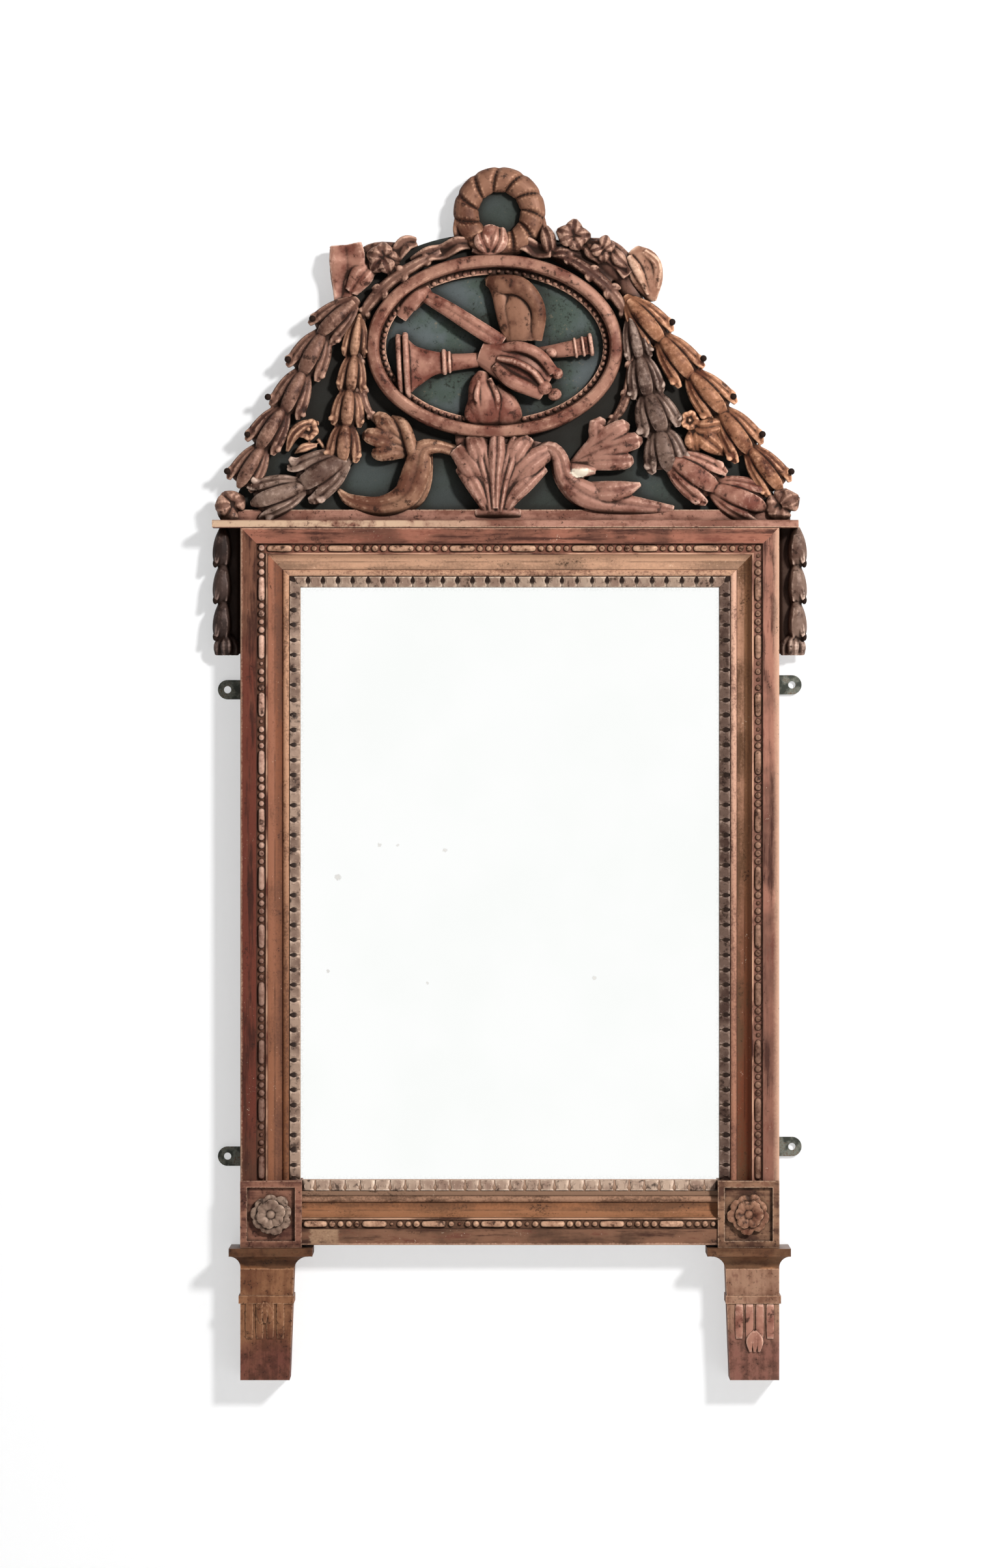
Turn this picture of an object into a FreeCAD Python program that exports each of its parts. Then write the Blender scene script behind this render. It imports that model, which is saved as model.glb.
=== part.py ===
import FreeCAD, Part
import math
import operator
import os
from types import SimpleNamespace

import Sketcher
from FreeCAD import Placement, Rotation, Vector

# A carved giltwood wall mirror in the neoclassical manner.
# +Z is up, +X is to the right of someone facing it, and the front faces -Y.
# The back lies in the plane y = 0, and the origin is the middle of the sight opening on that plane.

# Driving sizes in millimetres
SIZES = {
    # Looking glass and what holds it
    "sight_width": 345.0,
    "sight_height": 488.0,
    "glass_thickness": 4.0,
    "glass_rebate": 8.0,
    "glass_clearance": 2.0,
    "block_thickness": 5.0,
    "block_width": 6.0,
    "block_length": 24.0,
    "board_rebate": 8.0,
    "board_thickness": 9.0,
    "board_clearance": 1.0,
    "board_joint_height": 70.0,
    # Section of the frame, from its outer edge to the sight edge
    "member_width": 49.0,
    "bottom_rail_width": 53.0,
    "frame_depth": 34.0,
    "band_width": 13.5,
    "band_round": 1.5,
    "channel_width": 7.5,
    "channel_depth": 3.0,
    "lip_width": 1.5,
    "lip_drop": 1.0,
    "cove_width": 12.0,
    "cove_drop": 9.0,
    "torus_width": 5.5,
    "torus_rise": 2.6,
    "sight_edge": 3.0,
    "sight_round": 1.0,
    # Bead and reel rows in the frame's channel
    "bead_radius": 3.3,
    "bead_neck": 1.2,
    "bead_pitch": 6.6,
    "reel_length": 21.0,
    # Corner blocks and their rosettes
    "block_overhang": 1.5,
    "corner_height": 55.0,
    "corner_proud": 2.0,
    "corner_border": 5.5,
    "corner_recess": 4.0,
    "rosette_radius": 18.5,
    "rosette_height": 5.5,
    # Joints between the members
    "tenon_length": 16.0,
    "tenon_width": 18.0,
    "tenon_thickness": 9.0,
    "tenon_setback": 8.0,
    "mortise_clearance": 0.15,
    "mitre_key_length": 36.0,
    "mitre_key_width": 9.0,
    "mitre_key_depth": 7.0,
    "mitre_key_setback": 17.0,
    # Feet
    "cap_slab": 6.5,
    "cap_cove": 11.0,
    "cap_overhang": 9.0,
    "foot_height": 91.5,
    "foot_top_width": 44.0,
    "foot_bottom_width": 40.5,
    "foot_depth": 33.0,
    "collar_drop": 22.0,
    "collar_height": 6.5,
    "collar_proud": 1.4,
    "flute_width": 5.5,
    "flute_pitch": 8.5,
    "flute_length": 20.0,
    "flute_depth": 2.0,
    "flute_gap": 2.0,
    "dowel_radius": 5.0,
    "dowel_in_block": 18.0,
    "dowel_in_foot": 26.0,
    # Wall lugs, let into the backs of the stiles
    "lug_width": 16.0,
    "lug_thickness": 2.5,
    "lug_reach": 12.0,
    "lug_inlay": 25.0,
    "lug_hole_radius": 3.0,
    "left_lug_upper_drop": 84.0,
    "left_lug_lower_rise": 18.0,
    "right_lug_upper_drop": 80.0,
    "right_lug_lower_rise": 26.0,
    # Iron screws and nails
    "screw_radius": 1.6,
    "screw_head_radius": 3.2,
    "screw_head_depth": 1.8,
    "lug_screw_length": 14.0,
    "lug_screw_pitch": 12.0,
    "crest_screw_length": 24.0,
    "nail_radius": 0.9,
    "nail_head_radius": 2.2,
    "nail_head_depth": 1.0,
    "nail_length": 20.0,
    # Ledge and cresting
    "ledge_width": 482.0,
    "ledge_height": 6.0,
    "ledge_proud": 1.5,
    "ledge_round": 2.5,
    "step_height": 9.0,
    "step_proud": 8.0,
    "step_inset": 6.0,
    "crest_shift": -3.7,
    "crest_width": 482.0,
    "crest_height": 298.5,
    "crest_thickness": 12.0,
    "lap_width": 300.0,
    "lap_height": 27.0,
    "lap_clearance": 0.15,
    "medallion_width": 212.0,
    "medallion_height": 152.0,
    "medallion_shift": -8.9,
    "medallion_rise": 149.5,
    "rim_width": 11.0,
    "rim_height": 16.0,
    "pearl_seat": 5.5,
    "pearl_seat_height": 6.0,
    "pearl_radius": 2.5,
    "ring_radius": 27.5,
    "ring_rise": 259.0,
    "ring_shift": -6.3,
    "ring_width": 23.0,
    "ring_height": 12.0,
    "husk_height": 17.0,
    "pendant_length": 106.0,
    "pendant_width": 19.0,
    "pendant_gap": 2.0,
    "pendant_backing": 6.0,
    # How far a cut runs past the face that it opens
    "overrun": 1.0,
}

doc = FreeCAD.newDocument("giltwood_mirror")
sheet = doc.addObject("Spreadsheet::Sheet", "Sizes")
for row, (alias, value) in enumerate(SIZES.items(), start=1):
    sheet.set(f"A{row}", alias)
    sheet.set(f"B{row}", str(value))
    sheet.setAlias(f"B{row}", alias)
doc.recompute()

OPERATIONS = {"+": operator.add, "-": operator.sub, "*": operator.mul, "/": operator.truediv}


class Size:
    """A number together with the sheet formula that gives it."""

    def __init__(self, value, formula):
        self.value = value
        self.formula = formula

    def __add__(self, other):
        return combine(self, "+", other)

    def __radd__(self, other):
        return combine(other, "+", self)

    def __sub__(self, other):
        return combine(self, "-", other)

    def __rsub__(self, other):
        return combine(other, "-", self)

    def __mul__(self, other):
        return combine(self, "*", other)

    def __rmul__(self, other):
        return combine(other, "*", self)

    def __truediv__(self, other):
        return combine(self, "/", other)

    def __neg__(self):
        return combine(0, "-", self)

    def __float__(self):
        return self.value


def as_size(number):
    if isinstance(number, Size):
        return number
    return Size(float(number), repr(float(number)))


def combine(left, sign, right):
    left = as_size(left)
    right = as_size(right)
    return Size(OPERATIONS[sign](left.value, right.value), f"({left.formula} {sign} {right.formula})")


# size.NAME keeps its formula, for bound features; mm.NAME is the plain number, for carved shapes
size = SimpleNamespace(**{alias: Size(float(sheet.get(alias)), f"Sizes.{alias}") for alias in SIZES})
mm = SimpleNamespace(**{alias: float(sheet.get(alias)) for alias in SIZES})

# Places that several pieces share
half_sight_width = size.sight_width / 2
half_sight_height = size.sight_height / 2
outer_x = half_sight_width + size.member_width
rail_top = half_sight_height + size.member_width
glass_front = size.board_thickness + size.block_thickness + size.glass_thickness
corner_inner_x = half_sight_width - size.block_overhang
corner_width = size.member_width + size.block_overhang
corner_depth = size.frame_depth + size.corner_proud
corner_base = half_sight_height + size.corner_height
cap_height = size.cap_slab + size.cap_cove
foot_top = corner_base + cap_height
FRONT = Vector(0, -1, 0)
SIDES = {"left": -1, "right": 1}


# Helpers for bound features

def bind(item, name, number):
    item.setExpression(name, as_size(number).formula)


def place(item, across=0, along=0, up=0):
    """Tie where an object sits to the sheet."""
    for axis, number in (("x", across), ("y", along), ("z", up)):
        bind(item, f"Placement.Base.{axis}", number)


def new_body(name):
    return doc.addObject("PartDesign::Body", name)


def plane_sketch(body, name, role, offset=0):
    """An empty sketch on one of the body's own planes, or a set distance along its normal."""
    sketch = body.newObject("Sketcher::SketchObject", name)
    plane = next(item for item in body.Origin.OriginFeatures if item.Role == role)
    sketch.AttachmentSupport = (plane, "")
    sketch.MapMode = "FlatFace"
    bind(sketch, "AttachmentOffset.Base.z", offset)
    return sketch


def pin(sketch, geometry, end, across, along):
    """Fix a point of a sketch by two sizes measured from its origin."""
    for kind, axis, number in (("DistanceX", -2, across), ("DistanceY", -1, along)):
        if number.value == 0:
            sketch.addConstraint(Sketcher.Constraint("PointOnObject", geometry, end, axis))
        else:
            index = sketch.addConstraint(Sketcher.Constraint(kind, -1, 1, geometry, end, number.value))
            bind(sketch, f"Constraints[{index}]", number)


def add_outline(sketch, corners):
    """A closed outline. A corner is (across, along), or also the point that its next edge bends through."""
    corners = [[as_size(number) for number in corner] for corner in corners]
    edges = []
    for index, corner in enumerate(corners):
        following = corners[(index + 1) % len(corners)]
        start = Vector(corner[0].value, corner[1].value, 0)
        finish = Vector(following[0].value, following[1].value, 0)
        if len(corner) == 2:
            edges.append((sketch.addGeometry(Part.LineSegment(start, finish)), 1, 2))
            continue
        through = Vector(corner[2].value, corner[3].value, 0)
        geometry = sketch.addGeometry(Part.Arc(start, through, finish))
        forward = sketch.getPoint(geometry, 1).distanceToPoint(start) < through.distanceToPoint(start)
        edges.append((geometry, 1, 2) if forward else (geometry, 2, 1))
        marker = sketch.addGeometry(Part.Point(through), True)
        pin(sketch, marker, 1, corner[2], corner[3])
        sketch.addConstraint(Sketcher.Constraint("PointOnObject", marker, 1, geometry))
    for index, (geometry, start_end, finish_end) in enumerate(edges):
        following = edges[(index + 1) % len(edges)]
        joined = Sketcher.Constraint("Coincident", geometry, finish_end, following[0], following[1])
        sketch.addConstraint(joined)
        pin(sketch, geometry, start_end, corners[index][0], corners[index][1])


def add_circle(sketch, across, along, radius):
    across = as_size(across)
    along = as_size(along)
    circle = Part.Circle(Vector(across.value, along.value, 0), Vector(0, 0, 1), radius.value)
    geometry = sketch.addGeometry(circle)
    index = sketch.addConstraint(Sketcher.Constraint("Radius", geometry, radius.value))
    bind(sketch, f"Constraints[{index}]", radius)
    pin(sketch, geometry, 3, across, along)


def rectangle(left, bottom, right, top):
    return [(left, bottom), (right, bottom), (right, top), (left, top)]


def add_pad(body, name, sketch, length, side="One side", back=False):
    pad = body.newObject("PartDesign::Pad", name)
    pad.Profile = sketch
    pad.SideType = side
    pad.Reversed = back
    bind(pad, "Length", length)
    doc.recompute()
    return pad


def add_pocket(body, name, sketch, depth, side="One side", back=False):
    """Cut a pocket, and make sure that it took something away."""
    volume = body.Shape.Volume
    pocket = body.newObject("PartDesign::Pocket", name)
    pocket.Profile = sketch
    pocket.SideType = side
    pocket.Reversed = back
    bind(pocket, "Length", depth)
    doc.recompute()
    if not body.Shape.Volume < volume:
        raise RuntimeError(f"{body.Name}: {name} cuts nothing")
    return pocket


# Each finished piece, by the name of its node
pieces = {}


def finish_piece(node, item):
    item.Label = node
    pieces[node] = item
    return item


def box_piece(name, length, width, height, across, along, up):
    box = doc.addObject("Part::Box", name)
    bind(box, "Length", length)
    bind(box, "Width", width)
    bind(box, "Height", height)
    place(box, across, along, up)
    return box


def shape_piece(name, shape):
    item = doc.addObject("Part::Feature", name)
    item.Shape = shape
    item.Placement = Placement(Vector(0, 0, 0), Rotation())
    return item


def fitted(node, base, tools):
    """The base with room cut for the pieces that are let into it."""
    seat = doc.addObject("Part::Compound", f"{node}_seats")
    seat.Links = tools
    cut = doc.addObject("Part::Cut", f"{node}_fitted")
    cut.Base = base
    cut.Tool = seat
    return finish_piece(node, cut)


# Fasteners, which are turned about their own axis and driven along +Y or -Y

def turned_screw(point, length, radius, head_radius, head_depth):
    """A countersunk screw whose head is flush at the point and whose shank runs to the front."""
    outline = [
        Vector(0, 0, 0),
        Vector(head_radius, 0, 0),
        Vector(radius, 0, head_depth),
        Vector(radius, 0, length - radius),
        Vector(0, 0, length),
        Vector(0, 0, 0),
    ]
    shank = Part.Face(Part.makePolygon(outline)).revolve(Vector(0, 0, 0), Vector(0, 0, 1), 360)
    shank.Placement = Placement(point, Rotation(Vector(0, 0, 1), FRONT))
    return shank


def lug_heights(side_name):
    """Heights of a side's two lugs, measured from the top and the foot of the sight opening."""
    drop = getattr(size, f"{side_name}_lug_upper_drop")
    rise = getattr(size, f"{side_name}_lug_lower_rise")
    return {"upper": half_sight_height - drop, "lower": rise - half_sight_height}


def lug_screw_points():
    points = []
    for side_name, side in SIDES.items():
        for height in lug_heights(side_name).values():
            inner = outer_x.value - mm.lug_inlay + mm.lug_width / 3
            for across in (inner, inner + mm.lug_screw_pitch):
                points.append(Vector(side * across, 0, height.value))
    return points


def crest_screw_points():
    screw_shares = (-0.42, -0.15, 0.15, 0.42)
    height = rail_top.value - mm.lap_height / 2
    return [Vector(share * mm.lap_width, 0, height) for share in screw_shares]


def nail_points():
    """Along the edges of the backboards, in the middle of the step that they rest on."""
    across = half_sight_width.value + mm.glass_rebate + mm.board_rebate / 2
    along = half_sight_height.value + mm.glass_rebate + mm.board_rebate / 2
    side_shares = (-0.88, -0.4, 0.06, 0.42, 0.88)
    end_shares = (-0.5, 0.0, 0.5)
    points = [Vector(side * across, 0, share * along) for side in (-1, 1) for share in side_shares]
    points += [Vector(share * across, 0, side * along) for side in (-1, 1) for share in end_shares]
    return points


lug_screws = shape_piece("lug_screw_set", Part.makeCompound([
    turned_screw(point, mm.lug_screw_length, mm.screw_radius, mm.screw_head_radius, mm.screw_head_depth)
    for point in lug_screw_points()
]))
crest_screws = shape_piece("crest_screw_set", Part.makeCompound([
    turned_screw(point, mm.crest_screw_length, mm.screw_radius, mm.screw_head_radius, mm.screw_head_depth)
    for point in crest_screw_points()
]))
nails = shape_piece("nail_set", Part.makeCompound([
    turned_screw(point, mm.nail_length, mm.nail_radius, mm.nail_head_radius, mm.nail_head_depth)
    for point in nail_points()
]))
finish_piece("lug_screws", lug_screws)
finish_piece("crest_screws", crest_screws)
finish_piece("backboard_nails", nails)


# Wall lugs: iron plates with a rounded end that carries the hole

def build_lug(node, side, height):
    body = new_body(f"{node}_plate")
    half = size.lug_width / 2
    inner = side * (outer_x - size.lug_inlay)
    end = side * (outer_x + size.lug_reach)
    tip = side * (outer_x + size.lug_reach + half)
    plate = plane_sketch(body, f"{node}_outline", "XZ_Plane")
    add_outline(plate, [(inner, -half), (end, -half, tip, 0), (end, half), (inner, half)])
    add_pad(body, f"{node}_pad", plate, size.lug_thickness)
    hole = plane_sketch(body, f"{node}_hole_centre", "XZ_Plane")
    add_circle(hole, end, 0, size.lug_hole_radius)
    add_pocket(body, f"{node}_hole", hole, size.lug_thickness + size.overrun, back=True)
    place(body, up=height)
    return body


lugs = {}
for side_name, side in SIDES.items():
    for level, height in lug_heights(side_name).items():
        node = f"{level}_{side_name}_lug"
        lugs[node] = build_lug(node, side, height)
        fitted(node, lugs[node], [lug_screws])


# Frame members share one moulded section

def frame_section(width):
    """Corners (from the outer edge, from the back), with bend points, of a moulded member."""
    depth = size.frame_depth
    channel_floor = depth - size.channel_depth
    lip_start = size.band_width + size.channel_width
    cove_start = lip_start + size.lip_width
    torus_start = cove_start + size.cove_width
    leaf_start = torus_start + size.torus_width
    lip_top = depth - size.lip_drop
    cove_floor = lip_top - size.cove_drop
    sight_top = glass_front + size.sight_edge
    glass_wall = width - size.glass_rebate
    board_wall = glass_wall - size.board_rebate
    round_share = 0.293
    cove_bend_shares = (0.3, 0.72)
    leaf_bend_shares = (0.55, 0.28)
    return [
        (0, 0),
        (0, depth - size.band_round, size.band_round * round_share, depth - size.band_round * round_share),
        (size.band_round, depth),
        (size.band_width, depth),
        (size.band_width, channel_floor),
        (lip_start, channel_floor),
        (lip_start, lip_top),
        (cove_start, lip_top, cove_start + size.cove_width * cove_bend_shares[0],
         lip_top - size.cove_drop * cove_bend_shares[1]),
        (torus_start, cove_floor, torus_start + size.torus_width / 2, cove_floor + size.torus_rise),
        (leaf_start, cove_floor, leaf_start + (width - leaf_start) * leaf_bend_shares[0],
         cove_floor - (cove_floor - sight_top) * leaf_bend_shares[1]),
        (width - size.sight_round, sight_top),
        (width, sight_top - size.sight_round),
        (width, glass_front),
        (glass_wall, glass_front),
        (glass_wall, size.board_thickness),
        (board_wall, size.board_thickness),
        (board_wall, 0),
    ]


def placed_section(width, place_point):
    """The section's corners moved into a sketch plane by a function of (from outer edge, from back)."""
    corners = []
    for corner in frame_section(width):
        moved = list(place_point(corner[0], corner[1]))
        if len(corner) > 2:
            moved += place_point(corner[2], corner[3])
        corners.append(moved)
    return corners


tenon_inner = size.tenon_setback + size.tenon_width
tenon_back = size.board_thickness + size.screw_head_depth
tenon_front = tenon_back + size.tenon_thickness


def build_stile(side_name, side):
    """A stile: its moulding, a mitre at the top and a tenon down into the corner block."""
    body = new_body(f"{side_name}_stile_blank")
    section = plane_sketch(body, f"{side_name}_stile_section", "XY_Plane")
    add_outline(section, placed_section(size.member_width, lambda s, d: (side * (outer_x - s), -as_size(d))))
    length = size.sight_height + size.member_width
    add_pad(body, f"{side_name}_stile_pad", section, length)
    tenon = plane_sketch(body, f"{side_name}_stile_tenon", "XY_Plane")
    add_outline(tenon, rectangle(side * (outer_x - tenon_inner), -tenon_front,
                                 side * (outer_x - size.tenon_setback), -tenon_back))
    add_pad(body, f"{side_name}_stile_tenon_pad", tenon, size.tenon_length, back=True)
    mitre = plane_sketch(body, f"{side_name}_stile_mitre", "XZ_Plane")
    past = size.overrun
    add_outline(mitre, [
        (side * (half_sight_width - past), size.sight_height - past),
        (side * (outer_x + past), length + past),
        (side * (half_sight_width - past), length + past),
    ])
    add_pocket(body, f"{side_name}_stile_mitre_cut", mitre, size.frame_depth + size.overrun, back=True)
    place(body, up=-half_sight_height)
    return body


def build_top_rail():
    """The top rail: mitred at both ends, with a lap at the back for the cresting board."""
    body = new_body("top_rail_blank")
    section = plane_sketch(body, "top_rail_section", "YZ_Plane")
    add_outline(section, placed_section(size.member_width, lambda s, d: (-as_size(d), rail_top - s)))
    add_pad(body, "top_rail_pad", section, 2 * outer_x, side="Symmetric")
    mitres = plane_sketch(body, "top_rail_mitres", "XZ_Plane")
    past = size.overrun
    for side in SIDES.values():
        add_outline(mitres, [
            (side * (half_sight_width - past), half_sight_height - past),
            (side * (outer_x + past), rail_top + past),
            (side * (outer_x + past), half_sight_height - past),
        ])
    add_pocket(body, "top_rail_mitre_cut", mitres, size.frame_depth + size.overrun, back=True)
    lap = plane_sketch(body, "top_rail_lap", "XZ_Plane")
    half_lap = size.lap_width / 2 + size.lap_clearance
    lap_base = rail_top - size.lap_height - size.lap_clearance
    add_outline(lap, rectangle(size.crest_shift - half_lap, lap_base, size.crest_shift + half_lap,
                               rail_top + size.overrun))
    add_pocket(body, "top_rail_lap_cut", lap, size.crest_thickness + size.lap_clearance, back=True)
    return body


def build_bottom_rail():
    """The bottom rail: square ends with a stub tenon into each corner block."""
    body = new_body("bottom_rail_blank")
    width = size.bottom_rail_width
    base = -half_sight_height - width
    section = plane_sketch(body, "bottom_rail_section", "YZ_Plane")
    add_outline(section, placed_section(width, lambda s, d: (-as_size(d), base + s)))
    add_pad(body, "bottom_rail_pad", section, 2 * corner_inner_x, side="Symmetric")
    tenon = plane_sketch(body, "bottom_rail_tenon", "YZ_Plane")
    add_outline(tenon, rectangle(-tenon_front, base + size.tenon_setback, -tenon_back, base + tenon_inner))
    add_pad(body, "bottom_rail_tenon_pad", tenon, 2 * (corner_inner_x + size.tenon_length), side="Symmetric")
    return body


# Hardwood keys let across the backs of the two mitres

def build_mitre_key(side_name, side):
    """A bar at 45 degrees, centred on the mitre line, flush with the back."""
    key = box_piece(f"{side_name}_mitre_key", size.mitre_key_length, size.mitre_key_depth,
                    size.mitre_key_width, 0, 0, 0)
    half_diagonal_share = math.sqrt(0.5) / 2
    along = size.mitre_key_length * half_diagonal_share
    thick = size.mitre_key_width * half_diagonal_share
    centre_x = side * (outer_x - size.mitre_key_setback)
    centre_z = rail_top - size.mitre_key_setback
    key.Placement = Placement(Vector(0, 0, 0), Rotation(Vector(0, 1, 0), 45 * side))
    place(key, centre_x - along - side * thick, -size.mitre_key_depth, centre_z + side * along - thick)
    return key


mitre_keys = doc.addObject("Part::Compound", "mitre_key_pair")
mitre_keys.Links = [build_mitre_key(name, side) for name, side in SIDES.items()]
finish_piece("mitre_keys", mitre_keys)
for side_name, side in SIDES.items():
    side_lugs = [pieces[f"{level}_{side_name}_lug"] for level in ("upper", "lower")]
    blank = build_stile(side_name, side)
    fitted(f"{side_name}_stile", blank, side_lugs + [lug_screws, nails, mitre_keys])
fitted("top_rail", build_top_rail(), [crest_screws, nails, mitre_keys])
fitted("bottom_rail", build_bottom_rail(), [nails])


# Feet: a dowel runs from each corner block through the cap into the foot

def build_dowel(side_name, side):
    dowel = doc.addObject("Part::Cylinder", f"{side_name}_dowel")
    bind(dowel, "Radius", size.dowel_radius)
    bind(dowel, "Height", size.dowel_in_block + cap_height + size.dowel_in_foot)
    place(dowel, side * (outer_x - size.foot_top_width / 2), -size.foot_depth / 2,
          -foot_top - size.dowel_in_foot)
    return dowel


def build_corner_block(side_name, side):
    """A block with a sunk field, two mortises and the rebates of the glass and its boards."""
    name = f"{side_name}_block"
    body = new_body(f"{name}_blank")
    far = side * corner_width
    room = size.mortise_clearance
    face = plane_sketch(body, f"{name}_face", "XZ_Plane")
    add_outline(face, rectangle(0, -size.corner_height, far, 0))
    add_pad(body, f"{name}_pad", face, corner_depth)
    border = size.corner_border
    field = plane_sketch(body, f"{name}_field", "XZ_Plane", corner_depth)
    add_outline(field, rectangle(side * border, border - size.corner_height, far - side * border, -border))
    add_pocket(body, f"{name}_field_cut", field, size.corner_recess)
    stile_mortise = plane_sketch(body, f"{name}_stile_mortise", "XY_Plane")
    near_outer = far - side * (size.tenon_setback - room)
    near_inner = far - side * (tenon_inner + room)
    add_outline(stile_mortise, rectangle(near_inner, -tenon_front - room, near_outer, room - tenon_back))
    add_pocket(body, f"{name}_stile_mortise_cut", stile_mortise, size.tenon_length + room)
    rail_mortise = plane_sketch(body, f"{name}_rail_mortise", "YZ_Plane")
    rail_base = -size.bottom_rail_width
    add_outline(rail_mortise, rectangle(-tenon_front - room, rail_base + size.tenon_setback - room,
                                        room - tenon_back, rail_base + tenon_inner + room))
    add_pocket(body, f"{name}_rail_mortise_cut", rail_mortise, size.tenon_length + room, back=side > 0)
    steps = {"board": (size.glass_rebate + size.board_rebate, size.board_thickness),
             "glass": (size.glass_rebate, glass_front)}
    for step, (reach, depth) in steps.items():
        rebate = plane_sketch(body, f"{name}_{step}_rebate", "XZ_Plane")
        add_outline(rebate, rectangle(0, -reach, side * (reach + size.block_overhang), 0))
        add_pocket(body, f"{name}_{step}_rebate_cut", rebate, depth, back=True)
    place(body, side * corner_inner_x, 0, -half_sight_height)
    return body


def build_cap(side_name, side):
    """A slab over a hollow, worked on the front and both sides and flat at the back."""
    name = f"{side_name}_cap"
    over = size.cap_overhang
    top = -corner_base
    slab_base = -corner_base - size.cap_slab
    base = -foot_top
    hollow_share = 0.29
    middle_z = slab_base - size.cap_cove * hollow_share
    outer_foot = side * outer_x
    inner_foot = side * (outer_x - size.foot_top_width)
    outer_slab = side * (outer_x + over)
    inner_slab = side * (corner_inner_x - over)
    front = new_body(f"{name}_front")
    outline = plane_sketch(front, f"{name}_front_outline", "XZ_Plane")
    add_outline(outline, [
        (outer_slab, top),
        (outer_slab, slab_base, outer_foot + (outer_slab - outer_foot) * hollow_share, middle_z),
        (outer_foot, base),
        (inner_foot, base, inner_foot + (inner_slab - inner_foot) * hollow_share, middle_z),
        (inner_slab, slab_base),
        (inner_slab, top),
    ])
    front_y = corner_depth + over
    add_pad(front, f"{name}_front_pad", outline, front_y)
    flank = new_body(f"{name}_flank")
    outline = plane_sketch(flank, f"{name}_flank_outline", "YZ_Plane")
    add_outline(outline, [
        (0, top),
        (-front_y, top),
        (-front_y, slab_base, -size.foot_depth - (front_y - size.foot_depth) * hollow_share, middle_z),
        (-size.foot_depth, base),
        (0, base),
    ])
    add_pad(flank, f"{name}_flank_pad", outline, 2 * (outer_x + over + size.overrun), side="Symmetric")
    common = doc.addObject("Part::Common", f"{name}_moulded")
    common.Base = front
    common.Tool = flank
    return common


def build_foot(side_name, side):
    """A tapering pilaster with a collar over four short flutes."""
    name = f"{side_name}_foot"
    body = new_body(f"{name}_blank")
    outer = side * outer_x
    base = -foot_top - size.foot_height
    face = plane_sketch(body, f"{name}_face", "XZ_Plane")
    add_outline(face, [
        (outer, -foot_top),
        (side * (outer_x - size.foot_top_width), -foot_top),
        (side * (outer_x - size.foot_bottom_width), base),
        (outer, base),
    ])
    add_pad(body, f"{name}_pad", face, size.foot_depth)
    collar_top = -foot_top - size.collar_drop
    collar_base = collar_top - size.collar_height
    collar = plane_sketch(body, f"{name}_collar", "XZ_Plane")
    add_outline(collar, rectangle(side * (outer_x - size.foot_top_width), collar_base,
                                  outer + side * size.collar_proud, collar_top))
    add_pad(body, f"{name}_collar_pad", collar, size.foot_depth + size.collar_proud)
    flutes = plane_sketch(body, f"{name}_flutes", "XZ_Plane", size.foot_depth)
    half = size.flute_width / 2
    flute_shoulder = collar_base - size.flute_gap - half
    flute_base = flute_shoulder - size.flute_length
    row_shares = (-1.5, -0.5, 0.5, 1.5)
    for row_share in row_shares:
        middle = side * (outer_x - size.foot_bottom_width / 2 + size.flute_pitch * row_share)
        add_outline(flutes, [
            (middle - half, flute_base),
            (middle + half, flute_base),
            (middle + half, flute_shoulder, middle, flute_shoulder + half),
            (middle - half, flute_shoulder),
        ])
    add_pocket(body, f"{name}_flute_cut", flutes, size.flute_depth)
    return body


dowels = {name: build_dowel(name, side) for name, side in SIDES.items()}
for side_name, side in SIDES.items():
    fitted(f"{side_name}_corner_block", build_corner_block(side_name, side), [dowels[side_name]])
    fitted(f"{side_name}_foot_cap", build_cap(side_name, side), [dowels[side_name]])
    fitted(f"{side_name}_foot", build_foot(side_name, side), [dowels[side_name]])
dowel_pair = doc.addObject("Part::Compound", "dowel_pair")
dowel_pair.Links = list(dowels.values())
finish_piece("foot_dowels", dowel_pair)


# Looking glass, softwood blocks behind it and two backboards

def build_glazing():
    spare = size.glass_rebate - size.glass_clearance
    glass = box_piece("glass_plate", size.sight_width + 2 * spare, size.glass_thickness,
                      size.sight_height + 2 * spare,
                      -half_sight_width - spare, -glass_front, -half_sight_height - spare)
    finish_piece("mirror_glass", glass)
    reach = size.glass_rebate + size.board_rebate - size.board_clearance
    width = size.sight_width + 2 * reach
    base = -half_sight_height - reach
    spans = {"lower": (base, size.board_joint_height), "upper": (size.board_joint_height, -base)}
    for level, (low, high) in spans.items():
        board = box_piece(f"{level}_board_blank", width, size.board_thickness, high - low,
                          -width / 2, -size.board_thickness, low)
        fitted(f"{level}_backboard", board, [nails])


def build_glass_blocks():
    """Blocks glued in the rebate, between the back of the glass and the boards."""
    across = half_sight_width.value + mm.glass_rebate
    along = half_sight_height.value + mm.glass_rebate
    front = -mm.board_thickness - mm.block_thickness
    side_shares = (-0.72, -0.24, 0.24, 0.72)
    end_shares = (-0.5, 0.5)
    blocks = []
    for side in SIDES.values():
        for share in side_shares:
            corner = Vector(min(side * across, side * (across - mm.block_width)), front,
                            share * along - mm.block_length / 2)
            blocks.append(Part.makeBox(mm.block_width, mm.block_thickness, mm.block_length, corner))
        for share in end_shares:
            corner = Vector(share * across - mm.block_length / 2, front,
                            min(side * along, side * (along - mm.block_width)))
            blocks.append(Part.makeBox(mm.block_length, mm.block_thickness, mm.block_width, corner))
    finish_piece("glass_blocks", shape_piece("glass_block_set", Part.makeCompound(blocks)))


build_glazing()
build_glass_blocks()


# Bead and reel rows: turned rods, split down the middle and glued in the channels

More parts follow.
